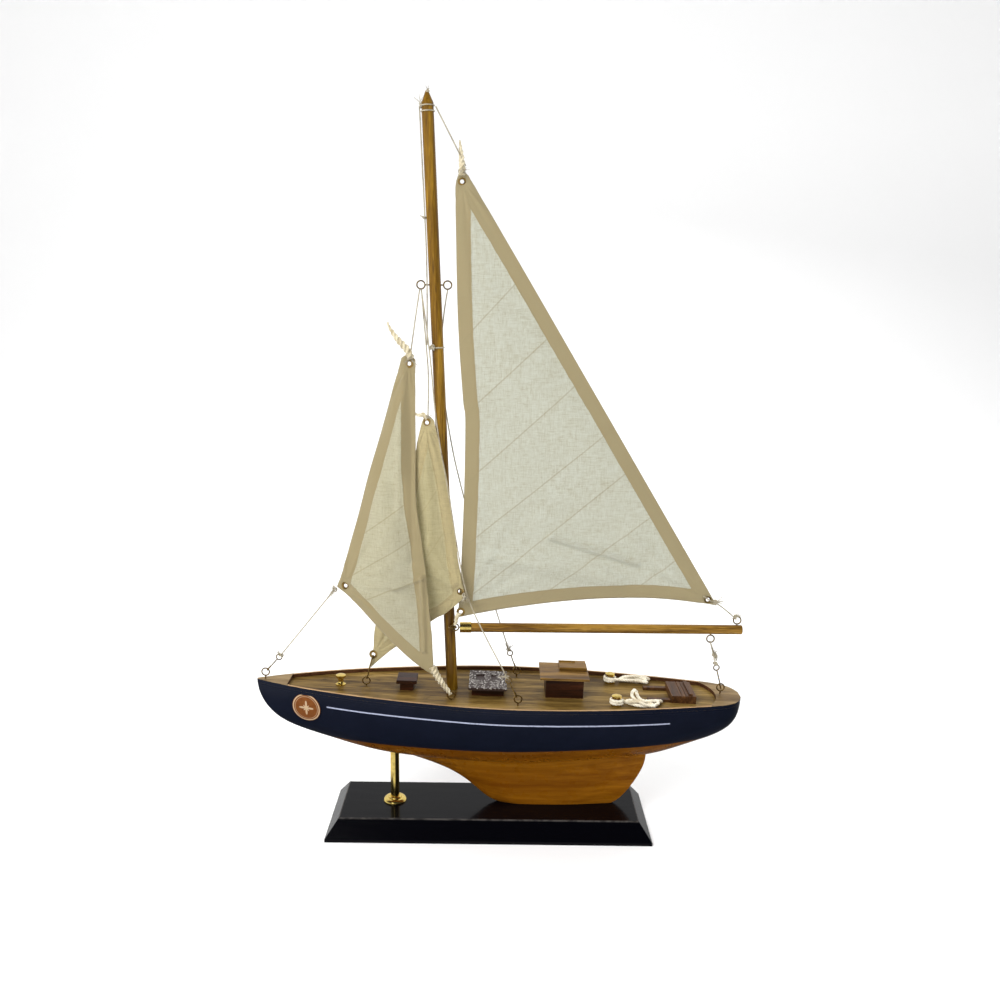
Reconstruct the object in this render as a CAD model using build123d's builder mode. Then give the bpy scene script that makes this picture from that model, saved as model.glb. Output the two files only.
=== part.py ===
"""Sailing yacht display model on a lacquered stand: hull, fin keel, deck fittings, mast, boom, sails, rigging.

Millimetres. The origin is the centre of the stand's underside, +X aft, +Y to starboard, +Z up.
"""

from build123d import *
import os
from math import atan, cos, degrees, pi, radians, sin, tan

os.makedirs("parts", exist_ok=True)

# ---------------------------------------------------------------- driving dimensions
# Stand
stand_length = 203.0
stand_width = 52.0
stand_height = 13.5
stand_flare = 8.5
stand_lip = 2.0
stand_edge_round = 0.6

# Brass post that carries the bow, and the keel on the stand
post_x = -66.0
post_radius = 3.05
post_bore_radius = 1.7
post_socket_depth = 9.0
flange_radius = 8.0
flange_height = 3.4
screw_radius = 1.5
screw_head_radius = 3.0
screw_head_height = 1.8
keel_screw_xs = (28.0, 64.0)
keel_screw_length = 24.0
seat_gap = 0.05

# Hull
hull_length = 331.0
hull_beam = 80.0
hull_centre = 5.6
sheer_mid = 98.6
sheer_drop = 0.0233
hull_bottom = 46.5
deck_recess = 2.5
deck_thickness = 1.6
bulwark_thickness = 1.7
bow_block_length = 22.5
stern_block_length = 17.0
stern_block_side_length = 24.5

# Fin keel
keel_foot_start = 6.0
keel_foot_end = 85.0
keel_foot_half = 4.6
keel_top = 58.0

# Mast and its fittings
mast_x = -26.2
mast_radius = 3.75
mast_height = 379.0
mast_tip = 7.0
mast_rake = 0.04356
mast_step_depth = 18.0
hounds_below_head = 109.0
lashing_below_head = (1.6, 4.9)
gather_below_head = 148.0

# Boom and the gooseneck
gooseneck_height = 142.7
gooseneck_side = -6.5
gooseneck_aft = 3.35
gooseneck_azimuth = -70.0
boom_radius = 3.15
boom_length = 191.0
boom_end_side = 0.7
boom_end_height = 141.0
ferrule_length = 7.6
ferrule_wall = 0.35
ferrule_gap = 3.85
boom_tail_eye_inset = 3.5
boom_sheet_eye_inset = 21.0

# Wire fittings
ring_radius = 2.55
wire_radius = 0.45
hook_wire_radius = 0.4
gooseneck_ring_radius = 2.4
eye_shank = 3.0
pilot_clearance = 0.02
crook_radius = 1.55
grommet_radius = 2.9
grommet_hole_radius = 1.3
grommet_height = 0.7

# Deck fittings
bollard_height = 7.4
bollard_cap_radius = 3.35
bollard_base_radius = 3.45
bollard_waist_radius = 1.8
fore_bollard_x = -102.6
aft_bollard_x = 84.0
aft_bollard_side = 20.3
stay_eye_x = -85.1
jib_sheet_eye_x = -26.0
jib_sheet_eye_side = -20.6
shroud_eye_x = 18.3
shroud_eye_side = 26.0
hatch_x = -56.9
skylight_x = -1.8
cabin_x = 49.9
cockpit_x = 130.3
joint_gap = 0.02

# Sails and cords
sail_thickness = 0.6
string_radius = 0.35
rope_radius = 0.9
hank_length = 27.0
hank_width = 9.0
hank_height = 4.6

# ---------------------------------------------------------------- worked-out places
trim = atan(sheer_drop)
bow_x = hull_centre - hull_length / 2
stern_x = hull_centre + hull_length / 2
bow_block_end = bow_x + bow_block_length
stern_block_start = stern_x - stern_block_length
stern_side_start = stern_x - stern_block_side_length


def sheer_height(x):
    """Height of the straight sheer line at a place along the hull."""
    return sheer_mid - sheer_drop * x


def deck_height(x):
    """Height of the deck's top face at a place along the hull."""
    return sheer_height(x) - deck_recess


def level_plane(drop, x=0.0, y=0.0):
    """A plane parallel to the sheer, a drop below it, with its origin at x and y."""
    return Plane(
        origin=(x, y, sheer_height(x) - drop),
        x_dir=(cos(trim), 0, -sin(trim)),
        z_dir=(sin(trim), 0, cos(trim)),
    )


def deck_plane(x, y=0.0):
    """The deck's top face, with its origin at x and y."""
    return level_plane(deck_recess, x, y)


def cap_plane(x):
    """The top face of the bow and stern blocks on the centre line."""
    return level_plane(0.0, x)


def save(builder, name):
    """Label a finished piece and write it as its own STEP file."""
    builder.part.label = name
    export_step(builder.part, "parts/" + name + ".step")


def between(low, high, share):
    """The value a share of the way from low to high."""
    return low + (high - low) * share


# ---------------------------------------------------------------- hull
# One row per station: share of the length, of the half beam and of the depth, and the
# section's fullness, where 2 is an ellipse and less is a sharper V.
stations = [
    (0.0012, 0.018, 0.050, 1.7),
    (0.0055, 0.045, 0.180, 1.7),
    (0.0180, 0.095, 0.330, 1.7),
    (0.0420, 0.185, 0.480, 1.7),
    (0.0840, 0.325, 0.610, 1.75),
    (0.1500, 0.505, 0.735, 1.8),
    (0.2410, 0.695, 0.880, 1.9),
    (0.3620, 0.875, 0.965, 2.0),
    (0.4830, 0.985, 1.000, 2.05),
    (0.6040, 0.975, 0.990, 2.05),
    (0.7240, 0.880, 0.945, 2.0),
    (0.8300, 0.735, 0.855, 1.95),
    (0.9060, 0.605, 0.690, 1.9),
    (0.9550, 0.500, 0.555, 1.9),
    (0.9800, 0.385, 0.430, 1.95),
    (0.9930, 0.240, 0.290, 2.0),
    (0.9990, 0.110, 0.130, 2.0),
]


def station_section(share, beam_share, depth_share, fullness):
    """Half-breadths and heights of one section, from the sheer round to the centre line."""
    x = bow_x + hull_length * share
    half = beam_share * hull_beam / 2
    depth = depth_share * (sheer_height(x) - hull_bottom)
    points = []
    for step in range(7):
        angle = radians(15 * step)
        breadth = half * cos(angle) ** (2 / fullness)
        height = sheer_height(x) - depth * sin(angle) ** (2 / fullness)
        points.append((breadth if step < 6 else 0.0, height))
    return x, points


def hull_block():
    """The whole hull, solid up to the sheer."""
    with BuildPart() as block:
        for station in stations:
            x, side = station_section(*station)
            with BuildSketch(Plane(origin=(x, 0, 0), x_dir=(0, 1, 0), z_dir=(1, 0, 0))):
                with BuildLine():
                    Spline(*side, *[(-y, z) for y, z in side[-2::-1]])
                    Line((-side[0][0], side[0][1]), side[0])
                make_face()
        loft()
    return block.part


def slab(drop_top, drop_bottom, x_start=-1000.0, x_end=1000.0, y_start=-200.0, y_end=200.0):
    """A big block between two levels under the sheer, used to slice the hull."""
    with BuildPart(mode=Mode.PRIVATE) as block:
        with BuildSketch(level_plane(drop_bottom)):
            with Locations(((x_start + x_end) / 2, (y_start + y_end) / 2)):
                Rectangle(x_end - x_start, y_end - y_start)
        extrude(amount=drop_bottom - drop_top)
    return block.part


def half_breadth(x):
    """Half-breadth at the sheer, straight between the stations."""
    share = (x - bow_x) / hull_length
    rows = [(row[0], row[1] * hull_beam / 2) for row in stations]
    for (share_a, half_a), (share_b, half_b) in zip(rows, rows[1:]):
        if share <= share_b:
            return between(half_a, half_b, (share - share_a) / (share_b - share_a))
    return rows[-1][1]


def well_outline(plane):
    """The open deck inside the bulwarks: their inner faces, the bow block and the stern arc."""
    inner = [
        (bow_x + hull_length * row[0], row[1] * hull_beam / 2 - bulwark_thickness)
        for row in stations
        if bow_block_end + 4 < bow_x + hull_length * row[0] < stern_side_start - 4
    ]
    bow_half = half_breadth(bow_block_end) - bulwark_thickness
    stern_half = half_breadth(stern_side_start) - bulwark_thickness
    side = [(bow_block_end, bow_half), *inner, (stern_side_start, stern_half)]
    with BuildSketch(plane, mode=Mode.PRIVATE) as outline:
        with BuildLine():
            Spline(*side)
            Spline(*[(x, -y) for x, y in side])
            Line((bow_block_end, bow_half), (bow_block_end, -bow_half))
            ThreePointArc(
                (stern_side_start, stern_half), (stern_block_start, 0), (stern_side_start, -stern_half)
            )
        make_face()
    return outline.sketch


# Screw eyes in the deck and the blocks: a plane on the wood and the neck under the ring.
bow_eye_place = cap_plane(bow_x + 6.0)
stern_eye_place = cap_plane(stern_x - 13.6)
stay_eye_place = deck_plane(stay_eye_x)
jib_sheet_eye_place = deck_plane(jib_sheet_eye_x, jib_sheet_eye_side)
shroud_eye_places = [deck_plane(shroud_eye_x, side * shroud_eye_side) for side in (-1, 1)]
deck_eye_places = [stay_eye_place, jib_sheet_eye_place, *shroud_eye_places]
cap_eye_neck = 2.3
stay_eye_neck = 1.0
shroud_eye_neck = 1.9

bollard_places = [
    deck_plane(fore_bollard_x),
    deck_plane(aft_bollard_x, -aft_bollard_side),
    deck_plane(aft_bollard_x, aft_bollard_side),
]
bollard_spigot_radius = 1.2
bollard_spigot_length = 3.0

# The mast stands on the deck's centre line and leans forward.
mast_direction = Vector(-mast_rake, 0, 1).normalized()
mast_foot = Vector(mast_x, 0, deck_height(mast_x))
mast_plane = Plane(origin=mast_foot, x_dir=(1, 0, mast_rake), z_dir=mast_direction)


def mast_point(height):
    """A point on the mast's axis at a height above the ground."""
    return mast_foot + mast_direction * ((height - mast_foot.Z) / mast_direction.Z)


masthead = deck_height(mast_x) + mast_height
hounds = masthead - hounds_below_head
gather = masthead - gather_below_head

whole_hull = hull_block()
post_top = hull_bottom + post_socket_depth + 5.0

with BuildPart() as hull_body:
    add(whole_hull)
    add(slab(-50, deck_recess + deck_thickness), mode=Mode.SUBTRACT)
    with BuildSketch(mast_plane):
        Circle(mast_radius + seat_gap)
    extrude(amount=-mast_step_depth - seat_gap, mode=Mode.SUBTRACT)
    with BuildSketch(Plane.XY.offset(hull_bottom - 20)):
        with Locations((post_x, 0)):
            Circle(post_radius + seat_gap)
    extrude(amount=post_top + seat_gap - (hull_bottom - 20), mode=Mode.SUBTRACT)
    for place in deck_eye_places:
        with BuildSketch(place):
            Circle(wire_radius + pilot_clearance)
        extrude(amount=-eye_shank, mode=Mode.SUBTRACT)
    for place in bollard_places:
        with BuildSketch(place):
            Circle(bollard_spigot_radius + pilot_clearance)
        extrude(amount=-bollard_spigot_length, mode=Mode.SUBTRACT)
save(hull_body, "hull_body")

with BuildPart() as deck:
    add(whole_hull)
    add(slab(deck_recess + deck_thickness, 200), mode=Mode.SUBTRACT)
    add(slab(-50, deck_recess), mode=Mode.SUBTRACT)
    with BuildSketch(mast_plane.offset(-deck_thickness * 2)):
        Circle(mast_radius + seat_gap)
    extrude(amount=deck_thickness * 4, mode=Mode.SUBTRACT)
    for place in deck_eye_places:
        with BuildSketch(place):
            Circle(wire_radius + pilot_clearance)
        extrude(amount=-eye_shank, mode=Mode.SUBTRACT)
    for place in bollard_places:
        with BuildSketch(place):
            Circle(bollard_spigot_radius + pilot_clearance)
        extrude(amount=-bollard_spigot_length, mode=Mode.SUBTRACT)
    for place in (bow_eye_place, stern_eye_place):
        with BuildSketch(place):
            Circle(wire_radius + pilot_clearance)
        extrude(amount=-eye_shank, mode=Mode.SUBTRACT)
save(deck, "deck")

with BuildPart() as rim:
    add(whole_hull)
    add(slab(deck_recess, 200), mode=Mode.SUBTRACT)
    add(well_outline(level_plane(deck_recess + 1)))
    extrude(amount=deck_recess + 4, mode=Mode.SUBTRACT)
    for place in (bow_eye_place, stern_eye_place):
        with BuildSketch(place):
            Circle(wire_radius + pilot_clearance)
        extrude(amount=-eye_shank, mode=Mode.SUBTRACT)

rim_cuts = {
    "bow_block": (-1000.0, bow_block_end, -200.0, 200.0),
    "stern_block": (stern_side_start, 1000.0, -200.0, 200.0),
    "bulwark_port": (bow_block_end, stern_side_start, -200.0, 0.0),
    "bulwark_starboard": (bow_block_end, stern_side_start, 0.0, 200.0),
}
for name, (x_start, x_end, y_start, y_end) in rim_cuts.items():
    with BuildPart() as piece:
        add(rim.part)
        add(slab(-20, 30, x_start, x_end, y_start, y_end), mode=Mode.INTERSECT)
    save(piece, name)

# ---------------------------------------------------------------- fin keel
# One row per level: height, leading edge, trailing edge and half thickness.
keel_levels = [
    (stand_height, keel_foot_start, keel_foot_end, keel_foot_half),
    (19.5, -4.5, 93.0, 5.1),
    (28.0, -14.0, 99.5, 5.9),
    (36.5, -26.5, 104.4, 7.4),
    (43.5, -42.0, 107.2, 9.8),
    (50.0, -60.0, 108.2, 13.2),
    (keel_top, -74.0, 106.5, 17.0),
]
trailing_half = 1.3

with BuildPart() as keel:
    for height, start, end, half in keel_levels:
        length = end - start
        side = [
            (start, 0.0),
            (start + 0.06 * length, 0.50 * half),
            (start + 0.28 * length, half),
            (start + 0.62 * length, 0.92 * half),
            (end, trailing_half),
        ]
        with BuildSketch(Plane.XY.offset(height)):
            with BuildLine():
                Spline(*side[::-1], *[(x, -y) for x, y in side[1:]])
                Line((end, -trailing_half), (end, trailing_half))
            make_face()
    loft()
    add(hull_body.part, mode=Mode.SUBTRACT)
    add(slab(-50, deck_recess + deck_thickness), mode=Mode.SUBTRACT)
    with BuildSketch(Plane.XY):
        with Locations(*[(x, 0) for x in keel_screw_xs]):
            Circle(screw_radius + pilot_clearance)
    extrude(amount=keel_screw_length + screw_head_height, mode=Mode.SUBTRACT)
    with BuildSketch(Plane.XY):
        with Locations((post_x, 0)):
            Circle(post_radius + seat_gap)
    extrude(amount=post_top, mode=Mode.SUBTRACT)
keel_solids = keel.part.solids().sort_by(SortBy.VOLUME)
with BuildPart() as keel_fin:
    add(keel_solids[-1])
save(keel_fin, "keel")

# ---------------------------------------------------------------- stand and post
with BuildPart() as stand_base:
    with BuildSketch():
        Rectangle(stand_length + 2 * stand_flare, stand_width + 2 * stand_flare)
    extrude(amount=stand_lip)
    with BuildSketch(Plane.XY.offset(stand_lip)):
        Rectangle(stand_length + 2 * stand_flare, stand_width + 2 * stand_flare)
    bevel_height = stand_height - stand_lip
    extrude(amount=bevel_height, taper=degrees(atan(stand_flare / bevel_height)))
    top_edges = stand_base.faces().sort_by(Axis.Z)[-1].edges()
    fillet(top_edges, radius=stand_edge_round)
    with BuildSketch():
        with Locations((post_x, 0), *[(x, 0) for x in keel_screw_xs]):
            Circle(screw_radius + pilot_clearance)
    extrude(amount=stand_height + 1, mode=Mode.SUBTRACT)
    with BuildSketch():
        with Locations((post_x, 0), *[(x, 0) for x in keel_screw_xs]):
            Circle(screw_head_radius + seat_gap)
    extrude(amount=screw_head_height + seat_gap, mode=Mode.SUBTRACT)
save(stand_base, "stand_base")

post_screw_length = 30.0
with BuildPart() as stand_post:
    with BuildSketch(Plane.XY.offset(stand_height)):
        with Locations((post_x, 0)):
            Circle(post_radius)
    extrude(amount=post_top - stand_height)
    with BuildSketch(Plane.XY.offset(stand_height)):
        with Locations((post_x, 0)):
            Circle(post_bore_radius)
    extrude(amount=post_screw_length, mode=Mode.SUBTRACT)
save(stand_post, "stand_post")

with BuildPart() as post_flange:
    with BuildSketch(Plane(origin=(post_x, 0, stand_height), x_dir=(1, 0, 0), z_dir=(0, -1, 0))):
        with BuildLine():
            inner = post_radius + pilot_clearance
            Line((inner, 0), (flange_radius, 0))
            Line((flange_radius, 0), (flange_radius, 0.6))
            ThreePointArc(
                (flange_radius, 0.6),
                (between(inner, flange_radius, 0.72), 0.62 * flange_height),
                (inner + 1.5, 0.68 * flange_height),
            )
            ThreePointArc(
                (inner + 1.5, 0.68 * flange_height),
                (inner + 1.1, 0.95 * flange_height),
                (inner, flange_height),
            )
            Line((inner, flange_height), (inner, 0))
        make_face()
    revolve(axis=Axis((post_x, 0, 0), (0, 0, 1)))
save(post_flange, "post_flange")


def wood_screw(name, xs, length):
    """Flat-headed screws from under the stand, one at each x."""
    with BuildPart() as screws:
        with BuildSketch():
            with Locations(*[(x, 0) for x in xs]):
                Circle(screw_head_radius)
        extrude(amount=screw_head_height)
        with BuildSketch(Plane.XY.offset(screw_head_height)):
            with Locations(*[(x, 0) for x in xs]):
                Circle(screw_radius)
        extrude(amount=length)
        with BuildSketch():
            with Locations(*[(x, 0) for x in xs]):
                Rectangle(1.4 * screw_head_radius, 0.25 * screw_head_radius)
                Rectangle(0.25 * screw_head_radius, 1.4 * screw_head_radius)
        extrude(amount=0.5 * screw_head_height, mode=Mode.SUBTRACT)
    save(screws, name)


wood_screw("keel_screws", keel_screw_xs, keel_screw_length)
wood_screw("post_screw", (post_x,), post_screw_length + stand_height - screw_head_height - 6.0)


# ---------------------------------------------------------------- deck fittings
def turned_bollard():
    """Turned brass bollard standing at the origin: spigot, base, waist and domed cap."""
    with BuildPart() as post:
        with BuildSketch(Plane.XZ):
            with BuildLine():
                Polyline(
                    (0, -bollard_spigot_length),
                    (bollard_spigot_radius, -bollard_spigot_length),
                    (bollard_spigot_radius, 0),
                    (bollard_base_radius, 0),
                    (bollard_base_radius, 0.7),
                )
                ThreePointArc((bollard_base_radius, 0.7), (2.3, 1.5), (bollard_waist_radius, 3.0))
                ThreePointArc(
                    (bollard_waist_radius, 3.0), (2.1, 4.3), (bollard_cap_radius, bollard_height - 1.9)
                )
                Line((bollard_cap_radius, bollard_height - 1.9), (bollard_cap_radius, bollard_height - 0.6))
                ThreePointArc(
                    (bollard_cap_radius, bollard_height - 0.6),
                    (0.7 * bollard_cap_radius, bollard_height - 0.1),
                    (0.4 * bollard_cap_radius, bollard_height),
                )
                Line((0.4 * bollard_cap_radius, bollard_height), (0, bollard_height))
                Line((0, bollard_height), (0, -bollard_spigot_length))
            make_face()
        revolve(axis=Axis.Z)
    return post.part


with BuildPart() as fore_bollard:
    add(turned_bollard().moved(bollard_places[0].location))
save(fore_bollard, "fore_bollard")

with BuildPart() as aft_bollards:
    for place in bollard_places[1:]:
        add(turned_bollard().moved(place.location))
save(aft_bollards, "aft_bollards")


# Slots are cut from this far above a block's top, so that each one opens through it.
cut_start = 1.0


def deck_block(x, size, foot=0.0, y=0.0, edge=0.2, slots=()):
    """A block standing a foot above the deck, with softened top edges and sunk slots."""
    length, width, height = size
    with BuildPart(mode=Mode.PRIVATE) as block:
        with BuildSketch(level_plane(deck_recess - foot, x, y)):
            Rectangle(length, width)
        extrude(amount=height)
        top = block.faces().sort_by(Axis.Z)[-1]
        fillet(top.edges(), radius=edge)
        for slot_x, slot_y, slot_length, slot_width, slot_depth in slots:
            with BuildSketch(level_plane(deck_recess - foot - height - cut_start, x, y)):
                with Locations((slot_x, slot_y)):
                    Rectangle(slot_length, slot_width)
            extrude(amount=-slot_depth - cut_start, mode=Mode.SUBTRACT)
    return block.part


def deck_box(name, x, size, **options):
    """Write one deck block as its own node."""
    with BuildPart() as box:
        add(deck_block(x, size, **options))
    save(box, name)


hatch_body_height = 4.9
hatch_body_size = (9.0, 13.6, hatch_body_height)
hatch_lid_size = (13.6, 15.6, 2.4)
deck_box("fore_hatch_body", hatch_x, hatch_body_size)
deck_box("fore_hatch_lid", hatch_x, hatch_lid_size, foot=hatch_body_height + joint_gap, edge=0.35)

skylight_body_height = 5.5
skylight_body_size = (21.6, 22.4, skylight_body_height)
skylight_lid_size = (25.6, 32.6, 1.8)
skylight_slots = ((-5.4, 3.9, 6.0, 10.0, 0.9), (3.8, 3.9, 3.4, 10.0, 0.9))
deck_box("skylight_body", skylight_x, skylight_body_size)
deck_box(
    "skylight_lid",
    skylight_x,
    skylight_lid_size,
    foot=skylight_body_height + joint_gap,
    edge=0.3,
    slots=skylight_slots,
)

cabin_wall_height = 13.9
cabin_size = (25.4, 22.0, cabin_wall_height)
cabin_roof_size = (33.0, 30.6, 1.5)
roof_hatch_size = (18.6, 14.4, 2.1)
roof_hatch_slots = ((-3.4, 3.8, 11.0, 4.4, 0.9),)
roof_foot = cabin_wall_height + joint_gap
deck_box("cabin_walls", cabin_x, cabin_size, edge=0.15)
deck_box("cabin_roof", cabin_x, cabin_roof_size, foot=roof_foot, edge=0.35)
deck_box(
    "roof_hatch",
    cabin_x + 6.4,
    roof_hatch_size,
    foot=roof_foot + cabin_roof_size[2] + joint_gap,
    y=7.6,
    edge=0.3,
    slots=roof_hatch_slots,
)

cockpit_size = (16.6, 26.6, 5.2)
cockpit_batten_size = (2.4, 24.0, 1.2)
groove_width = 0.5
cockpit_grooves = tuple(
    (groove_x, 0.0, groove_width, cockpit_size[1] + cut_start, 0.4) for groove_x in (-1.2, 1.5)
)
deck_box("cockpit_hatch", cockpit_x, cockpit_size, edge=0.3, slots=cockpit_grooves)
deck_box(
    "hatch_batten", cockpit_x + 4.9, cockpit_batten_size, foot=cockpit_size[2] + joint_gap, edge=0.25
)

rail_length = 16.0
rail_width = 3.8
rail_height = 1.9
rail_side = 10.4
rail_x = cockpit_x - cockpit_size[0] / 2 - rail_length / 2 - joint_gap
with BuildPart() as cockpit_rails:
    for side in (-1, 1):
        add(deck_block(rail_x, (rail_length, rail_width, rail_height), y=side * rail_side, edge=0.4))
save(cockpit_rails, "cockpit_rails")


# ---------------------------------------------------------------- spars
with BuildPart() as mast:
    with BuildSketch(mast_plane.offset(-mast_step_depth)):
        Circle(mast_radius)
    extrude(amount=mast_step_depth + mast_height)
    with BuildSketch(mast_plane.offset(mast_height)):
        Circle(mast_radius)
    with BuildSketch(mast_plane.offset(mast_height + mast_tip)):
        Circle(0.9)
    loft()
    for height, azimuth in ((hounds, 180.0), (hounds, 0.0), (gooseneck_height, gooseneck_azimuth)):
        outward = Vector(cos(radians(azimuth)), sin(radians(azimuth)), 0)
        with BuildSketch(Plane(origin=mast_point(height) + outward * (mast_radius + 1), z_dir=outward)):
            Circle(wire_radius + pilot_clearance)
        extrude(amount=-eye_shank - 1, mode=Mode.SUBTRACT)
save(mast, "mast")

# The boom runs aft from the gooseneck link; its fore end stands to port of the mast.
mast_at_gooseneck = mast_point(gooseneck_height)
boom_start = Vector(mast_at_gooseneck.X + gooseneck_aft + ferrule_gap, gooseneck_side, gooseneck_height)
boom_end = Vector(boom_start.X + boom_length, boom_end_side, boom_end_height)
boom_direction = (boom_end - boom_start).normalized()
boom_plane = Plane(origin=boom_start, z_dir=boom_direction)


def boom_point(run, below=0.0):
    """A point on the boom's axis, a run aft of its fore end, or below the axis."""
    return boom_start + boom_direction * run - Vector(0, 0, below)


tail_eye_run = boom_length - boom_tail_eye_inset
sheet_eye_run = boom_length - boom_sheet_eye_inset
tail_eye_place = Plane(origin=boom_point(tail_eye_run, -boom_radius), x_dir=(1, 0, 0), z_dir=(0, 0, 1))
sheet_eye_place = Plane(origin=boom_point(sheet_eye_run, boom_radius), x_dir=(1, 0, 0), z_dir=(0, 0, -1))

with BuildPart() as boom:
    with BuildSketch(boom_plane):
        Circle(boom_radius)
    extrude(amount=boom_length)
    fillet(boom.faces().sort_by(Axis.X)[-1].edges(), radius=0.6)
    with BuildSketch(boom_plane):
        Circle(wire_radius + pilot_clearance)
    extrude(amount=eye_shank, mode=Mode.SUBTRACT)
    for place in (tail_eye_place, sheet_eye_place):
        with BuildSketch(place.offset(1)):
            Circle(wire_radius + pilot_clearance)
        extrude(amount=-eye_shank - 1, mode=Mode.SUBTRACT)
save(boom, "boom")

with BuildPart() as boom_ferrule:
    with BuildSketch(boom_plane):
        Circle(boom_radius + joint_gap + ferrule_wall)
        Circle(boom_radius + joint_gap, mode=Mode.SUBTRACT)
    extrude(amount=ferrule_length)
save(boom_ferrule, "boom_ferrule")


# ---------------------------------------------------------------- screw eyes
def screw_eye(place, neck, ring=ring_radius, shank=eye_shank, turn=90.0):
    """A wire ring on a neck above a plane on the wood, with its shank in the wood."""
    with BuildPart(place) as eye:
        with Locations((0, 0, neck + ring)):
            Torus(ring, wire_radius, rotation=(turn, 0, 0))
        with Locations((0, 0, -shank)):
            Cylinder(wire_radius, neck + shank, align=(Align.CENTER, Align.CENTER, Align.MIN))
    return eye.part


def eye_centre(place, neck, ring=ring_radius):
    """Centre of a screw eye's ring."""
    return place.origin + place.z_dir * (neck + ring)


def save_eyes(name, eyes):
    """Write one node that holds one or more screw eyes."""
    with BuildPart() as group:
        for eye in eyes:
            add(eye)
    save(group, name)


save_eyes("bow_eye", [screw_eye(bow_eye_place, cap_eye_neck)])
save_eyes("stern_eye", [screw_eye(stern_eye_place, cap_eye_neck)])
save_eyes("staysail_tack_eye", [screw_eye(stay_eye_place, stay_eye_neck)])
save_eyes("jib_sheet_eye", [screw_eye(jib_sheet_eye_place, stay_eye_neck)])
save_eyes("shroud_eyes", [screw_eye(place, shroud_eye_neck) for place in shroud_eye_places])

# Two eyes at the hounds, fore and aft, with their rings in the mast's fore-and-aft plane.
fore_hound_neck = 2.7
aft_hound_neck = 1.6
hound_centre = mast_point(hounds)
fore_hound_place = Plane(origin=hound_centre - Vector(mast_radius, 0, 0), x_dir=(0, 0, 1), z_dir=(-1, 0, 0))
aft_hound_place = Plane(origin=hound_centre + Vector(mast_radius, 0, 0), x_dir=(0, 0, 1), z_dir=(1, 0, 0))
save_eyes(
    "mast_upper_eyes",
    [screw_eye(fore_hound_place, fore_hound_neck), screw_eye(aft_hound_place, aft_hound_neck)],
)

# The gooseneck: a flat-lying ring on the mast's port quarter, linked by an upright ring on the boom.
mast_eye_neck = 0.8
boom_eye_neck = 0.7
quarter = Vector(cos(radians(gooseneck_azimuth)), sin(radians(gooseneck_azimuth)), 0)
mast_eye_place = Plane(
    origin=mast_at_gooseneck + quarter * mast_radius, x_dir=(-quarter.Y, quarter.X, 0), z_dir=quarter
)
boom_eye_place = Plane(origin=boom_start, x_dir=(0, 0, 1), z_dir=-boom_direction)
save_eyes("gooseneck_mast_eye", [screw_eye(mast_eye_place, mast_eye_neck, gooseneck_ring_radius)])
save_eyes("gooseneck_boom_eye", [screw_eye(boom_eye_place, boom_eye_neck, gooseneck_ring_radius)])

boom_eye_out = 0.9
save_eyes("boom_tail_eye", [screw_eye(tail_eye_place, boom_eye_out)])
save_eyes("boom_sheet_eye", [screw_eye(sheet_eye_place, boom_eye_out)])


# ---------------------------------------------------------------- wire hooks
hook_ring_radius = 1.9
hook_tip = 1.8
straddle = 1.4
taut_seat = ring_radius - wire_radius - hook_wire_radius - 0.1
slack_seat = -1.1


def wire_hook(ring_centre, eye, seat):
    """A bent wire: a closed ring, a shank towards an eye, and an open crook through that eye.

    The seat is how far the crook's wire lies from the eye's centre, towards the ring.
    """
    down = (eye - ring_centre).normalized()
    across = (Vector(0, 1, 0) - down * down.Y).normalized()
    plane = Plane(origin=ring_centre, x_dir=across, z_dir=across.cross(-down))
    reach = (eye - ring_centre).length - seat
    with BuildPart() as hook:
        with BuildLine(plane) as path:
            FilletPolyline(
                (0, -hook_ring_radius),
                (0, -hook_ring_radius - 1.5),
                (-crook_radius, -reach + crook_radius + 1.5),
                (-crook_radius, -reach),
                (crook_radius, -reach),
                (crook_radius, -reach + crook_radius + hook_tip),
                radius=[1.2, 1.2, 0.97 * crook_radius, 0.97 * crook_radius],
            )
        with BuildSketch(Plane(origin=path.line @ 0, z_dir=path.line % 0)):
            Circle(hook_wire_radius)
        sweep()
        with Locations(plane):
            Torus(hook_ring_radius, hook_wire_radius, rotation=(0, 90, 0))
    return hook.part


def hook_ring_top(ring_centre, eye):
    """The far side of a hook's ring, where its string is tied."""
    return ring_centre - (eye - ring_centre).normalized() * hook_ring_radius


def save_hooks(name, hooks):
    """Write one node that holds one or more hooks."""
    with BuildPart() as group:
        for hook in hooks:
            add(hook)
    save(group, name)


bow_eye_ring = eye_centre(bow_eye_place, cap_eye_neck)
stern_eye_ring = eye_centre(stern_eye_place, cap_eye_neck)
stay_eye_ring = eye_centre(stay_eye_place, stay_eye_neck)
shroud_eye_rings = [eye_centre(place, shroud_eye_neck) for place in shroud_eye_places]
sheet_eye_ring = eye_centre(sheet_eye_place, boom_eye_out)
tail_eye_ring = eye_centre(tail_eye_place, boom_eye_out)
fore_hound_ring = eye_centre(fore_hound_place, fore_hound_neck)
aft_hound_ring = eye_centre(aft_hound_place, aft_hound_neck)

bow_hook_ring = bow_eye_ring + Vector(9.6, 0, 10.7)
port_hook_ring = shroud_eye_rings[0] + Vector(-6.4, 1.2, 12.4)
starboard_hook_ring = shroud_eye_rings[1] + Vector(-5.0, -1.2, 13.4)
sheet_direction = (sheet_eye_ring - stern_eye_ring).normalized()
sheet_hook_ring = stern_eye_ring + sheet_direction * 14.6

save_hooks("bow_hook", [wire_hook(bow_hook_ring, bow_eye_ring, taut_seat)])
save_hooks(
    "shroud_hooks",
    [
        wire_hook(port_hook_ring, shroud_eye_rings[0], taut_seat),
        wire_hook(starboard_hook_ring, shroud_eye_rings[1], taut_seat),
    ],
)
save_hooks("mainsheet_hook", [wire_hook(sheet_hook_ring, stern_eye_ring, slack_seat)])


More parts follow.
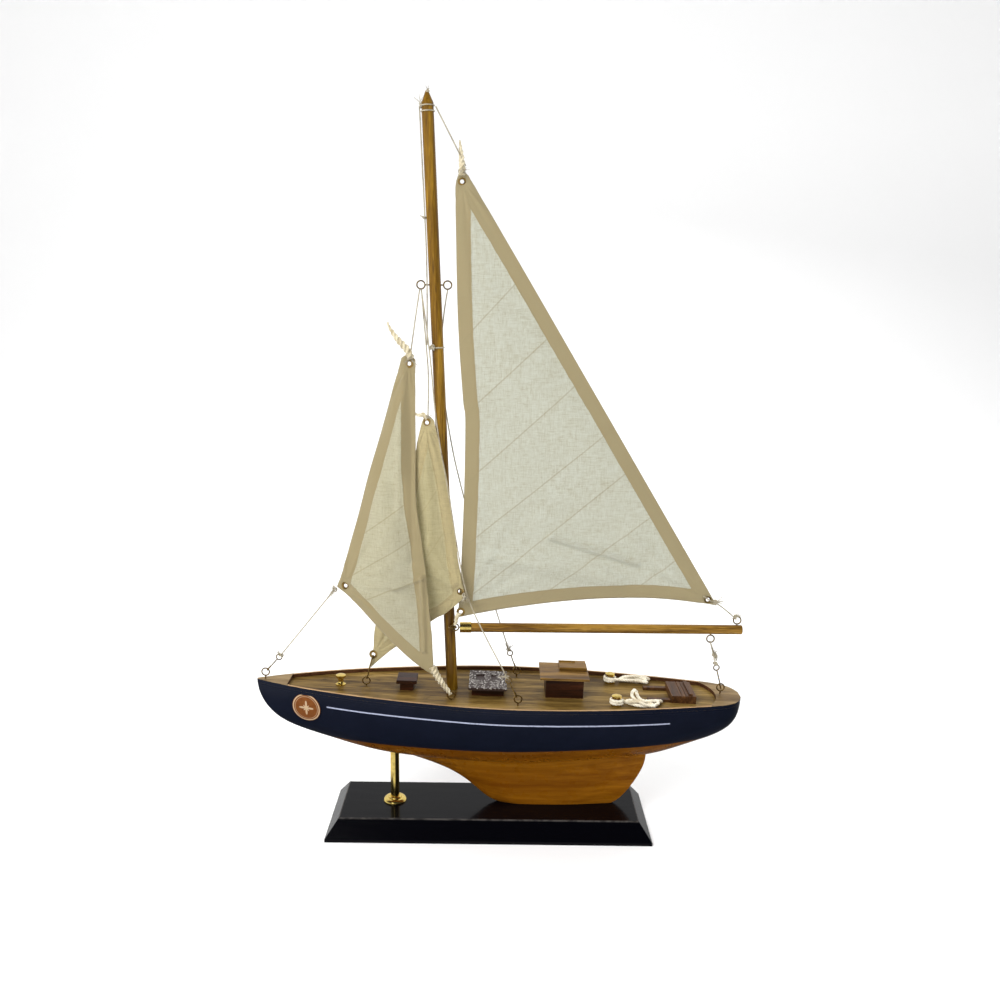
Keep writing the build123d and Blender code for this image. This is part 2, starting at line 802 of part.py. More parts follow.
# ---------------------------------------------------------------- sails
def sail_plane(tack, clew, head):
    """The plane through a sail's three corners, its normal towards port."""
    along = (clew - tack).normalized()
    return Plane(origin=tack, x_dir=along, z_dir=along.cross(head - tack).normalized())


def on_sail(plane, x, z):
    """The spot of a sail's plane that stands at x and z, in that plane's own coordinates."""
    normal = plane.z_dir
    across = normal.X * (x - plane.origin.X) + normal.Z * (z - plane.origin.Z)
    spot = plane.to_local_coords(Vector(x, plane.origin.Y - across / normal.Y, z))
    return spot.X, spot.Y


def spot_on_sail(plane, x, z):
    """The same spot in the object's frame."""
    return plane.from_local_coords(Vector(*on_sail(plane, x, z), 0))


def sail_solid(plane, edges, grommets, tail):
    """A thin sheet inside its edges, holed for its grommets, with a rolled tail at one corner.

    Each edge is a list of places in x and z; an edge of three places is an arc.
    """
    tail_start, tail_end, tail_radii = tail
    with BuildPart() as sail:
        with BuildSketch(plane):
            with BuildLine():
                for edge in edges:
                    spots = [on_sail(plane, *spot) for spot in edge]
                    if len(spots) == 3:
                        ThreePointArc(*spots)
                    else:
                        Polyline(*spots)
            make_face()
            with Locations(*[on_sail(plane, *spot) for spot in grommets]):
                Circle(grommet_radius + joint_gap, mode=Mode.SUBTRACT)
        extrude(amount=sail_thickness / 2, both=True)
        direction = (tail_end - tail_start).normalized()
        with BuildSketch(Plane(origin=tail_start, z_dir=direction)):
            Circle(tail_radii[0])
        with BuildSketch(Plane(origin=tail_end, z_dir=direction)):
            Circle(tail_radii[1])
        loft()
    return sail


def grommet_ring(plane, x, z):
    """A flat brass ring set in the cloth."""
    with BuildPart() as ring:
        with BuildSketch(Plane(origin=spot_on_sail(plane, x, z), x_dir=plane.x_dir, z_dir=plane.z_dir)):
            Circle(grommet_radius)
            Circle(grommet_hole_radius, mode=Mode.SUBTRACT)
        extrude(amount=grommet_height / 2, both=True)
    return ring.part


def save_grommets(name, rings):
    """Write one node that holds a sail's grommets."""
    with BuildPart() as group:
        for plane, x, z in rings:
            add(grommet_ring(plane, x, z))
    save(group, name)


# Mainsail: tack by the gooseneck, clew over the boom's end, head under the masthead.
main_tack = Vector(boom_start.X + 0.6, gooseneck_side + 0.2, gooseneck_height + 10.8)
main_clew = Vector(boom_end.X - 24.5, -0.2, boom_end_height + 21.2)
main_head = Vector(boom_start.X - 0.2, -1.0, masthead - 46.3)
main_plane = sail_plane(main_tack, main_clew, main_head)
luff_top = (main_head.X - 3.6, main_head.Z - 2.5)
luff_middle = (main_head.X + 2.7, between(main_tack.Z, main_head.Z, 0.42))
luff_foot = (main_tack.X - 2.6, main_tack.Z - 5.0)
leech_top = (main_head.X + 4.4, main_head.Z + 3.5)
leech_foot = (main_clew.X + 6.4, main_clew.Z - 3.9)
foot_middle = (between(main_tack.X, main_clew.X, 0.55), main_clew.Z + 0.2)
main_cap_top = ((main_head.X - 2.2, main_head.Z + 10.0), (main_head.X + 0.6, main_head.Z + 10.6))
main_grommets = [(main_tack.X, main_tack.Z), (main_clew.X, main_clew.Z), (main_head.X, main_head.Z)]
main_tail_foot = spot_on_sail(main_plane, main_head.X - 0.7, main_head.Z + 9.2)
mainsail = sail_solid(
    main_plane,
    [
        (luff_foot, luff_middle, luff_top),
        (luff_top, *main_cap_top, leech_top, leech_foot),
        (leech_foot, foot_middle, luff_foot),
    ],
    grommets=main_grommets,
    tail=(main_tail_foot, main_tail_foot + Vector(-0.9, 3.6, 15.0), (1.5, 1.0)),
)
save(mainsail, "mainsail")
save_grommets("mainsail_grommets", [(main_plane, x, z) for x, z in main_grommets])

# Jib: tack towards the bow, head under the hounds, clew led to the port side of the deck.
jib_tack = Vector(bow_hook_ring.X + 40.2, -0.8, bow_hook_ring.Z + 50.3)
jib_head = Vector(hound_centre.X - 16.3, -2.6, hounds - 47.6)
jib_clew = Vector(jib_sheet_eye_x - 10.2, jib_sheet_eye_side + 0.4, deck_height(jib_sheet_eye_x) + 21.5)
jib_plane = sail_plane(jib_tack, jib_clew, jib_head)
jib_luff_foot = (jib_tack.X - 0.6, jib_tack.Z - 0.8)
jib_luff_top = (jib_head.X - 5.2, jib_head.Z + 2.4)
jib_leech_top = (jib_head.X + 3.6, jib_head.Z + 1.6)
jib_leech_middle = (jib_clew.X - 12.6, between(jib_clew.Z, jib_head.Z, 0.56))
jib_leech_foot = (jib_clew.X + 0.6, jib_clew.Z - 5.4)
jib_foot_end = (jib_clew.X - 4.4, jib_clew.Z - 6.4)
jib_grommets = [(jib_tack.X + 6.4, jib_tack.Z + 1.4), (jib_head.X, jib_head.Z - 1.8)]
jib_tail_start = spot_on_sail(jib_plane, jib_clew.X, jib_clew.Z - 4.2)
jib_sheet_ring = eye_centre(jib_sheet_eye_place, stay_eye_neck)
jib_tail_end = between(jib_tail_start, jib_sheet_ring, 0.74)
jib = sail_solid(
    jib_plane,
    [
        (jib_luff_foot, jib_luff_top, jib_leech_top, jib_leech_middle),
        (jib_leech_middle, jib_leech_foot),
        (jib_leech_foot, jib_foot_end),
        (jib_foot_end, jib_luff_foot),
    ],
    grommets=jib_grommets,
    tail=(jib_tail_start, jib_tail_end, (2.0, 1.2)),
)
save(jib, "jib")

# Staysail: inside the jib, tack on the foredeck, its clew led past the mast's port side.
stay_hook_ring = stay_eye_ring + Vector(5.2, -0.4, 19.2)
stay_tack = stay_hook_ring - Vector(0, 0.3, 0)
stay_head = Vector(hound_centre.X - 4.9, -5.2, hounds - 84.4)
stay_clew = Vector(mast_at_gooseneck.X + 7.4, -10.0, gooseneck_height + 24.6)
stay_plane = sail_plane(stay_tack, stay_clew, stay_head)
stay_luff_foot = (stay_tack.X - 3.6, stay_tack.Z - 11.4)
stay_luff_top = (stay_head.X - 3.8, stay_head.Z - 1.6)
stay_leech_top = (stay_head.X + 4.2, stay_head.Z + 0.8)
stay_leech_middle = (stay_clew.X - 6.6, between(stay_clew.Z, stay_head.Z, 0.50))
stay_leech_foot = (stay_clew.X + 2.6, stay_clew.Z - 0.6)
stay_foot_end = (stay_clew.X - 0.6, stay_clew.Z - 5.6)
stay_grommets = [(stay_tack.X, stay_tack.Z), (stay_clew.X, stay_clew.Z + 1.4), (stay_head.X, stay_head.Z - 2.4)]
stay_tail_start = spot_on_sail(stay_plane, stay_head.X - 3.4, stay_head.Z - 2.4)
staysail = sail_solid(
    stay_plane,
    [
        (stay_luff_foot, stay_luff_top, stay_leech_top, stay_leech_middle),
        (stay_leech_middle, stay_leech_foot),
        (stay_leech_foot, stay_foot_end),
        (stay_foot_end, stay_luff_foot),
    ],
    grommets=stay_grommets,
    tail=(stay_tail_start, stay_tail_start + Vector(-5.4, 0.4, 3.6), (1.3, 0.8)),
)
save(staysail, "staysail")
save_grommets(
    "headsail_grommets",
    [(jib_plane, x, z) for x, z in jib_grommets] + [(stay_plane, x, z) for x, z in stay_grommets],
)


def tack_hook(grommet, eye):
    """A bent wire through a sail's grommet, down the port side of the cloth and through an eye."""
    down = (eye - grommet).normalized()
    across = (Vector(0, 1, 0) - down * down.Y).normalized()
    plane = Plane(origin=grommet, x_dir=across, z_dir=across.cross(-down))
    reach = (eye - grommet).length - taut_seat
    top = hook_wire_radius + joint_gap - grommet_hole_radius
    with BuildPart() as hook:
        with BuildLine(plane) as path:
            FilletPolyline(
                (straddle, top - 3.4),
                (straddle, top),
                (-straddle, top),
                (-straddle, -reach + crook_radius + 2.2),
                (-crook_radius, -reach + crook_radius + 0.8),
                (-crook_radius, -reach),
                (crook_radius, -reach),
                (crook_radius, -reach + crook_radius + hook_tip),
                radius=[0.96 * straddle, 0.96 * straddle, 0.3, 0.3, 0.97 * crook_radius, 0.97 * crook_radius],
            )
        with BuildSketch(Plane(origin=path.line @ 0, z_dir=path.line % 0)):
            Circle(hook_wire_radius)
        sweep()
    return hook.part


save_hooks("staysail_tack_hook", [tack_hook(stay_tack, stay_eye_ring)])


# ---------------------------------------------------------------- strings and ropes
def corner_radii(points):
    """Arc radius at each inner point: 0.45 of the shorter run over the tangent of half the turn."""
    radii = []
    for before, here, after in zip(points, points[1:], points[2:]):
        turn = radians((here - before).get_angle(after - here))
        radii.append(0.45 * min((here - before).length, (after - here).length) / tan(turn / 2))
    return radii


def string_tube(name, route, radii=None):
    """A round string along straight runs joined by arcs; a route of two points is one taut run."""
    points = [Vector(*point) for point in route]
    if radii is None:
        radii = corner_radii(points)
    with BuildPart() as tube:
        with BuildLine() as path:
            if len(points) == 2:
                Line(*points)
            else:
                FilletPolyline(*points, radius=radii)
        with BuildSketch(Plane(origin=path.line @ 0, z_dir=path.line % 0)):
            Circle(string_radius)
        sweep()
    centreline = sum(run.length for run in path.edges())
    ratio = tube.part.volume / (pi * string_radius**2 * centreline)
    print(name, "length", round(centreline, 1), "radii", [round(r, 1) for r in radii],
          "volume ratio", round(ratio, 4))
    save(tube, name)


def off_mast(height, ahead, side):
    """A point ahead of and beside the mast's axis at a height."""
    return mast_point(height) + Vector(-ahead, side, 0)


lash_radius = mast_radius + string_radius + 0.05
string_clear = lash_radius + 2 * string_radius + 0.1

# Two turns round the masthead, and one turn with a knot each side where the strings are gathered.
with BuildPart() as masthead_lashing:
    for below in lashing_below_head:
        with Locations(mast_plane.offset(mast_height - below)):
            Torus(lash_radius, string_radius)
save(masthead_lashing, "masthead_lashing")

knot_radius = 1.3
with BuildPart() as gather_lashing:
    with Locations(mast_plane.offset(mast_height - gather_below_head)):
        Torus(lash_radius, string_radius)
    for ahead, side in ((3.9, -3.9), (0.6, 5.2)):
        with Locations(off_mast(gather, ahead, side)):
            Sphere(knot_radius)
save(gather_lashing, "gather_lashing")

below_ring = Vector(0, 0, ring_radius + wire_radius + 0.1)
halyard_top = mast_point(masthead - 2.4) + Vector(string_clear + 0.1, 0, 0)
halyard_clearance = 0.4
main_knot_side = Vector(0, -(sail_thickness / 2 + string_radius + halyard_clearance), 0)
string_tube(
    "main_halyard",
    [halyard_top, spot_on_sail(main_plane, main_head.X + 2.2, main_head.Z + 9.2) + main_knot_side],
)
string_tube(
    "masthead_fall",
    [
        off_mast(masthead - 2.4, string_clear, 0.0),
        off_mast(masthead - 32.0, 4.75, -0.6),
        off_mast(masthead - 68.0, 4.5, -1.0),
        off_mast(masthead - 104.0, 4.5, -1.4),
        off_mast(gather + 1.6, 6.6, -2.6),
    ],
)
string_tube(
    "jib_halyard",
    [
        fore_hound_ring - below_ring + Vector(-0.8, 0, 0.1),
        spot_on_sail(jib_plane, jib_head.X + 0.6, jib_head.Z + 3.0),
    ],
)
string_tube(
    "staysail_halyard",
    [
        fore_hound_ring - below_ring + Vector(0.3, 0.8, 0),
        off_mast(gather, 6.9, -5.6),
        off_mast(gather - 19.0, 6.0, -6.4),
        spot_on_sail(stay_plane, stay_head.X + 0.6, stay_head.Z + 1.4),
    ],
)
string_tube(
    "port_shroud",
    [
        fore_hound_ring - below_ring + Vector(0.3, -0.8, 0),
        off_mast(gather, 4.6, -6.8),
        off_mast(gather - 47.5, 2.9, -8.9),
        off_mast(gather - 96.5, -4.2, -10.6),
        off_mast(gather - 131.5, -8.1, -11.6),
        off_mast(gather - 162.5, -12.7, -12.2),
        off_mast(gather - 190.0, -25.4, -17.6),
        hook_ring_top(port_hook_ring, shroud_eye_rings[0]) + Vector(-0.2, 0.1, 0.5),
    ],
)
string_tube(
    "starboard_shroud",
    [
        aft_hound_ring - below_ring + Vector(0, 0.6, 0),
        off_mast(gather, 0.9, 7.4),
        off_mast(gather - 62.5, -5.1, 8.0),
        off_mast(gather - 100.5, -12.6, 10.6),
        off_mast(gather - 141.5, -21.5, 15.0),
        off_mast(gather - 181.5, -31.4, 20.0),
        hook_ring_top(starboard_hook_ring, shroud_eye_rings[1]) + Vector(-0.2, -0.1, 0.5),
    ],
)
tack_line_start = hook_ring_top(bow_hook_ring, bow_eye_ring)
tack_corner = spot_on_sail(jib_plane, jib_luff_foot[0] - 0.4, jib_luff_foot[1] - 0.6)
tack_line_direction = (tack_corner - tack_line_start).normalized()
string_tube("tack_line", [tack_line_start + tack_line_direction * 0.5, tack_corner])

off_cloth = Vector(0, -(sail_thickness / 2 + grommet_height + string_radius), 0)
outhaul_corner = spot_on_sail(main_plane, *leech_foot) + off_cloth + Vector(2.6, 0.4, 0.2)
string_tube(
    "outhaul",
    [
        main_clew + off_cloth,
        outhaul_corner,
        tail_eye_ring + (outhaul_corner - tail_eye_ring).normalized() * (ring_radius + wire_radius + 0.1),
    ],
)

# The mainsheet loops over the lower arc of the boom's eye: one leg to its hook, one free tail.
sheet_pivot = sheet_eye_ring - Vector(0, 0, ring_radius)
sheet_down = (sheet_hook_ring - sheet_pivot).normalized()
loop_half = 1.0
sheet_tail_length = 14.0
string_tube(
    "mainsheet_line",
    [
        sheet_pivot + sheet_down * sheet_tail_length + Vector(1.6, loop_half + 0.6, 0),
        sheet_pivot - sheet_down * loop_half + Vector(0, loop_half, 0),
        sheet_pivot - sheet_down * loop_half - Vector(0, loop_half, 0),
        sheet_hook_ring - sheet_down * (hook_ring_radius + hook_wire_radius + 0.1),
    ],
    radii=[0.96 * loop_half, 0.96 * loop_half],
)

# Each aft bollard carries a hank of rope: a turn round its waist and the bundle laid aft of it.
hank_ring_radii = (2.75, 4.7)
hank_ring_bottom = 1.3
hank_ring_height = 3.1
hank_start = 4.3
for name, place in zip(("port_rope_hank", "starboard_rope_hank"), bollard_places[1:]):
    with BuildPart() as hank:
        with BuildSketch(place.offset(joint_gap)):
            with Locations((hank_start + hank_length / 2, 0)):
                SlotOverall(hank_length, hank_width)
        extrude(amount=hank_height)
        fillet(hank.faces().sort_by(Axis.Z)[-1].edges(), radius=1.2)
        with BuildSketch(place.offset(hank_ring_bottom)):
            Circle(hank_ring_radii[1])
        extrude(amount=hank_ring_height)
        with BuildSketch(place):
            Circle(hank_ring_radii[0])
        extrude(amount=2 * hank_height, mode=Mode.SUBTRACT)
        with BuildSketch(place):
            Circle(bollard_base_radius + joint_gap)
        extrude(amount=hank_ring_bottom - joint_gap, mode=Mode.SUBTRACT)
    save(hank, name)
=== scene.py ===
"""A wooden model yacht on its stand: cloth, cord, varnish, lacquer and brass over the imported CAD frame.

Everything is in metres in the CAD frame: +X runs aft along the hull, +Y to starboard, +Z up.
"""
import logging
from dataclasses import dataclass, field
from enum import Enum
from typing import Any, ClassVar, Sequence

import bpy
import numpy as np
from mathutils import Matrix, Vector


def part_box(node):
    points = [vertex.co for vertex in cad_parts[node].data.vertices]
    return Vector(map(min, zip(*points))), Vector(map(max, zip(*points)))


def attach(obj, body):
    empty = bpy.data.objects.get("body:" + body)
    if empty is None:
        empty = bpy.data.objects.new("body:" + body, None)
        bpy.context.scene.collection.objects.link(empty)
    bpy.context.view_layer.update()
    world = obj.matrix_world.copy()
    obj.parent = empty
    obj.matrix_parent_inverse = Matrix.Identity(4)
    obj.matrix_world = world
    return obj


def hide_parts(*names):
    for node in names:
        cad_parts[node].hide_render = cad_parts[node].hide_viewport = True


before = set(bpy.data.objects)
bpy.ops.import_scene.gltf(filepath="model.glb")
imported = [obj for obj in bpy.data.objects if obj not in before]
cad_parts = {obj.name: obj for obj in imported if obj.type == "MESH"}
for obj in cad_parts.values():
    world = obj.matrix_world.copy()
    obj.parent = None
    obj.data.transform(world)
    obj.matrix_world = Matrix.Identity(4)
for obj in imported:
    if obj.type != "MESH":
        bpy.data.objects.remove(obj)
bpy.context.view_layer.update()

logging.basicConfig(level=logging.INFO, format="%(message)s")
log = logging.getLogger("yacht")

Point = tuple[float, float, float]
MM = 0.001


# ---------------------------------------------------------------- shapes as whole arrays
def smooth_line(points: Sequence[Sequence[float]], count: int) -> np.ndarray:
    """Sample a smooth line through some points, evenly along its length.

    Between each pair of points the line is the cubic whose end slopes are half the step between
    the neighbours on either side; the ends use their own step.

    Args:
        points: the places the line passes through.
        count: how many samples to return.

    Returns:
        The samples, one row each.
    """
    known = np.asarray(points, dtype=float)
    padded = np.vstack([2 * known[0] - known[1], known, 2 * known[-1] - known[-2]])
    slopes = (padded[2:] - padded[:-2]) / 2
    share = np.linspace(0, len(known) - 1, 40 * len(known))
    lower = np.minimum(share.astype(int), len(known) - 2)
    t = (share - lower)[:, None]
    start, end = known[lower], known[lower + 1]
    fine = (
        start * (2 * t**3 - 3 * t**2 + 1)
        + slopes[lower] * (t**3 - 2 * t**2 + t)
        + end * (3 * t**2 - 2 * t**3)
        + slopes[lower + 1] * (t**3 - t**2)
    )
    return resample(fine, count)


def resample(line: np.ndarray, count: int) -> np.ndarray:
    """Space a line's points evenly along its length."""
    steps = np.linalg.norm(np.diff(line, axis=0), axis=1)
    run = np.concatenate([[0.0], np.cumsum(steps)])
    wanted = np.linspace(0, run[-1], count)
    return np.stack([np.interp(wanted, run, line[:, axis]) for axis in range(line.shape[1])], axis=1)


def run_along(line: np.ndarray) -> np.ndarray:
    """Length along a line up to each of its points."""
    return np.concatenate([[0.0], np.cumsum(np.linalg.norm(np.diff(line, axis=0), axis=1))])


def unit(vectors: np.ndarray) -> np.ndarray:
    """Scale vectors to length one."""
    return vectors / np.maximum(np.linalg.norm(vectors, axis=-1, keepdims=True), 1e-12)


def frames(line: np.ndarray, side: Point) -> tuple[np.ndarray, np.ndarray]:
    """Two directions square to a line at each point; the first is as near as it can be to side."""
    tangent = unit(np.gradient(line, axis=0))
    first = unit(np.asarray(side) - (tangent @ np.asarray(side))[:, None] * tangent)
    return first, np.cross(tangent, first)


def distance_to_line(spots: np.ndarray, line: np.ndarray) -> np.ndarray:
    """Least distance from each spot to the runs of a line, all pairs at once."""
    start, step = line[:-1], np.diff(line, axis=0)
    offset = spots[:, None, :] - start[None]
    share = (offset * step[None]).sum(-1) / np.maximum((step**2).sum(-1), 1e-15)[None]
    nearest = start[None] + np.clip(share, 0, 1)[..., None] * step[None]
    return np.linalg.norm(spots[:, None, :] - nearest, axis=-1).min(axis=1)


def grid_faces(rows: int, columns: int, wrap: bool = False, first: int = 0) -> np.ndarray:
    """Quads of a grid of vertices; wrap joins the last column to the first."""
    row, column = np.meshgrid(np.arange(rows - 1), np.arange(columns if wrap else columns - 1), indexing="ij")
    across = (column + 1) % columns
    quads = [
        row * columns + column, row * columns + across, (row + 1) * columns + across,
        (row + 1) * columns + column
    ]
    return first + np.stack(quads, axis=-1).reshape(-1, 4)


def tube_grid(line: np.ndarray, radii: np.ndarray, side: Point, sides: int = 10) -> np.ndarray:
    """Rings of points round a line, shaped (points, sides, 3)."""
    first, second = frames(line, side)
    angle = np.linspace(0, 2 * np.pi, sides, endpoint=False)
    ring = np.cos(angle)[None, :, None] * first[:, None] + np.sin(angle)[None, :, None] * second[:, None]
    return line[:, None] + np.asarray(radii)[:, None, None] * ring


@dataclass
class Shape:
    """Vertices and faces that grow piece by piece."""

    vertices: list[np.ndarray] = field(default_factory=list)
    faces: list[list[int]] = field(default_factory=list)
    count: int = 0

    def add_grid(self, grid: np.ndarray, wrap: bool = False, capped: bool = False) -> None:
        """Add a grid of points as quads, closing its first and last rings with fans if capped."""
        rows, columns = grid.shape[:2]
        self.faces += grid_faces(rows, columns, wrap, self.count).tolist()
        self.vertices.append(grid.reshape(-1, 3))
        if capped:
            last = self.count + (rows - 1) * columns
            ends = self.count + rows * columns
            around = np.arange(columns)
            beside = (around + 1) % columns
            self.vertices.append(np.stack([grid[0].mean(axis=0), grid[-1].mean(axis=0)]))
            self.faces += np.stack(
                [np.full(columns, ends), self.count + beside, self.count + around], 1
            ).tolist()
            self.faces += np.stack([np.full(columns, ends + 1), last + around, last + beside], 1).tolist()
            self.count += 2
        self.count += rows * columns

    def add_tube(self, line: np.ndarray, radii: Any, side: Point = (0, 1, 0), sides: int = 10) -> None:
        """Add a round tube with closed ends along a line."""
        self.add_grid(tube_grid(line, np.broadcast_to(radii, len(line)), side, sides), True, True)

    def add_strands(self, line: np.ndarray, radius: float, pitch: float, side: Point, sides: int = 6) -> None:
        """Add three strands laid round a line: each centre turns round it once per pitch."""
        first, second = frames(line, side)
        laid, thick = 0.5359 * radius, 0.4641 * radius
        for strand in range(3):
            turn = (2 * np.pi * (run_along(line) / pitch + strand / 3))[:, None]
            out = np.cos(turn) * first + np.sin(turn) * second
            self.add_tube(line + laid * out, thick * 1.06, side, sides)

    def to_object(self, name: str, smooth: bool = True) -> bpy.types.Object:
        """Make the Blender object at the origin."""
        mesh = bpy.data.meshes.new(name)
        mesh.from_pydata(np.vstack(self.vertices).tolist(), [], self.faces)
        mesh.polygons.foreach_set("use_smooth", np.full(len(mesh.polygons), smooth))
        mesh.update()
        made = bpy.data.objects.new(name, mesh)
        bpy.context.scene.collection.objects.link(made)
        return made


# ---------------------------------------------------------------- shader values written as maths
def srgb(red: float, green: float, blue: float) -> tuple[float, float, float, float]:
    """A screen colour from 0 to 255 as the linear colour that sockets take."""
    parts = np.array([red, green, blue]) / 255
    flat = np.where(parts <= 0.04045, parts / 12.92, ((parts + 0.055) / 1.055) ** 2.4)
    return (*flat.tolist(), 1.0)


class Value:
    """A shader socket that adds, multiplies and compares like a number."""

    def __init__(self, paint: "Paint", socket: bpy.types.NodeSocket) -> None:
        """Hold a socket and the paint it belongs to."""
        self.paint, self.socket = paint, socket

    def math(self, operation: str, *others: Any, first: Any = None) -> "Value":
        """Apply a Math node to this value, or to first and this value."""
        parts = (self, *others) if first is None else (first, self)
        return self.paint.node("Math", dict(enumerate(parts)), operation=operation).value()

    def __add__(self, other: Any) -> "Value":
        """Sum."""
        return self.math("ADD", other)

    def __sub__(self, other: Any) -> "Value":
        """Difference."""
        return self.math("SUBTRACT", other)

    def __rsub__(self, other: Any) -> "Value":
        """Difference, the other way round."""
        return self.math("SUBTRACT", first=other)

    def __mul__(self, other: Any) -> "Value":
        """Product."""
        return self.math("MULTIPLY", other)

    def __truediv__(self, other: Any) -> "Value":
        """Quotient."""
        return self.math("DIVIDE", other)

    def __abs__(self) -> "Value":
        """Size without sign."""
        return self.math("ABSOLUTE")

    __radd__, __rmul__ = __add__, __mul__

    def least(self, other: Any) -> "Value":
        """The smaller of two values."""
        return self.math("MINIMUM", other)

    def most(self, other: Any) -> "Value":
        """The larger of two values."""
        return self.math("MAXIMUM", other)

    def rises(self, start: float, end: float, low: float = 0.0, high: float = 1.0) -> "Value":
        """Run smoothly from low to high as this value goes from start to end."""
        inputs = {0: self, 1: start, 2: end, 3: low, 4: high}
        return self.paint.node("MapRange", inputs, interpolation_type="SMOOTHSTEP").value()


class Made:
    """A node just made, with short ways to its outputs."""

    def __init__(self, paint: "Paint", node: bpy.types.Node) -> None:
        """Hold a node and the paint it belongs to."""
        self.paint, self.node = paint, node

    def value(self, output: Any = 0) -> Value:
        """One output as a value."""
        return Value(self.paint, self.node.outputs[output])


class Paint:
    """One material, built on a Principled surface in the object's own coordinates."""

    def __init__(self, name: str) -> None:
        """Start a material with this name and find its main nodes."""
        self.material = bpy.data.materials.new(name)
        self.material.use_nodes = True
        self.tree = self.material.node_tree
        self.surface = self.tree.nodes["Principled BSDF"]
        self.output = self.tree.nodes["Material Output"]
        self.spot = self.node("TexCoord").value("Object")
        parts = self.node("SeparateXYZ", {0: self.spot})
        self.x, self.y, self.z = (parts.value(axis) for axis in range(3))

    def node(self, kind: str, inputs: dict | None = None, **options: Any) -> Made:
        """Make any node, set its options, then feed its inputs by name or number."""
        made = self.tree.nodes.new("ShaderNode" + kind)
        for option, choice in options.items():
            setattr(made, option, choice)
        for key, given in (inputs or {}).items():
            self.feed(made.inputs[key], given)
        return Made(self, made)

    def feed(self, socket: bpy.types.NodeSocket, given: Any) -> None:
        """Link a value to a socket, or set the socket's constant."""
        if isinstance(given, Value):
            self.tree.links.new(given.socket, socket)
        else:
            socket.default_value = given

    def set(self, **inputs: Any) -> "Paint":
        """Feed the surface: underscores in a name stand for spaces."""
        for name, given in inputs.items():
            self.feed(self.surface.inputs[name.replace("_", " ")], given)
        return self

    def vector(self, x: Any, y: Any, z: Any) -> Value:
        """Join three values into a vector."""
        return self.node("CombineXYZ", {0: x, 1: y, 2: z}).value()

    def stretched(self, x: float, y: float, z: float) -> Value:
        """The object's coordinates times a scale on each axis."""
        return self.node("VectorMath", {0: self.spot, 1: (x, y, z)}, operation="MULTIPLY").value()

    def noise(self, where: Value | None = None, scale: float = 1.0, detail: float = 3.0, rough: float = 0.55,
              warp: float = 0.0) -> Value:
        """Cloudy noise from 0 to 1."""
        inputs = {
            "Vector": where or self.spot, "Scale": scale, "Detail": detail, "Roughness": rough,
            "Distortion": warp
        }
        return self.node("TexNoise", inputs).value("Fac")

    def cells(self, where: Value | None = None, scale: float = 1.0) -> Value:
        """Distance to the nearest of scattered points."""
        return self.node("TexVoronoi", {"Vector": where or self.spot, "Scale": scale}).value("Distance")

    def mix(self, factor: Any, low: Any, high: Any) -> Value:
        """Blend two colours."""
        return self.node("Mix", {0: factor, 6: low, 7: high}, data_type="RGBA").value(2)

    def ramp(self, factor: Value, *stops: tuple[float, tuple]) -> Value:
        """A colour that runs through stops of place and colour."""
        made = self.node("ValToRGB", {0: factor})
        table = made.node.color_ramp.elements
        for index, (place, colour) in enumerate(stops):
            stop = table[index] if index < 2 else table.new(place)
            stop.position, stop.color = place, colour
        return made.value(0)

    def bump(self, height: Value, depth: float, under: Value | None = None) -> Value:
        """A bumped normal; depth is the height in metres of a value of one."""
        inputs = {"Height": height, "Distance": depth, "Strength": 1.0}
        if under is not None:
            inputs["Normal"] = under
        return self.node("Bump", inputs).value()


# ---------------------------------------------------------------- finishes
class Grain(Enum):
    """The axis that a timber's fibres run along, as scales of its figure on x, y and z."""

    ALONG = (0.05, 1.0, 1.0)
    ACROSS = (1.0, 0.05, 1.0)
    UP = (1.0, 1.0, 0.05)


@dataclass(frozen=True)
class Timber:
    """Wood with broad figure, fine fibre and open pores under a varnish."""

    name: str
    dark: tuple
    middle: tuple
    light: tuple
    grain: Grain = Grain.ALONG
    varnish: float = 0.3
    size: float = 1.0
    pores: float = 0.5

    def figure(self, paint: Paint) -> tuple[Value, Value, Value]:
        """The wood's colour, its fibre from 0 to 1 and its pores from 0 to 1."""
        spread = [share * 1000 / self.size for share in self.grain.value]
        broad = paint.noise(paint.stretched(*[0.11 * s for s in spread]), 1.0, 3.0, 0.5, 0.6)
        fibre = paint.noise(paint.stretched(*[0.9 * s for s in spread]), 1.0, 4.0, 0.62, 0.2)
        open_pores = paint.noise(paint.stretched(*[1.5 * s for s in spread]), 1.0, 1.0).rises(0.60, 0.70)
        tone = (broad * 0.55 + fibre * 0.45).rises(0.30, 0.70)
        colour = paint.ramp(tone, (0.0, self.dark), (1.0, self.light), (0.55, self.middle))
        colour = paint.mix(open_pores * self.pores, colour, [0.45 * part for part in self.dark[:3]] + [1.0])
        return colour, fibre, open_pores

    def paint(self) -> Paint:
        """Build the material."""
        paint = Paint(self.name)
        colour, fibre, open_pores = self.figure(paint)
        dust = paint.noise(None, 160.0, 2.0)
        paint.set(
            Base_Color=colour,
            Roughness=fibre * 0.16 + dust * 0.10 + (0.42 - 0.22 * self.varnish),
            Coat_Weight=0.4 * self.varnish,
            Specular_IOR_Level=0.2,
            Normal=paint.bump(fibre * 0.5 - open_pores * 0.8, 0.00006),
        )
        paint.surface.inputs["Coat Roughness"].default_value = 0.16
        return paint


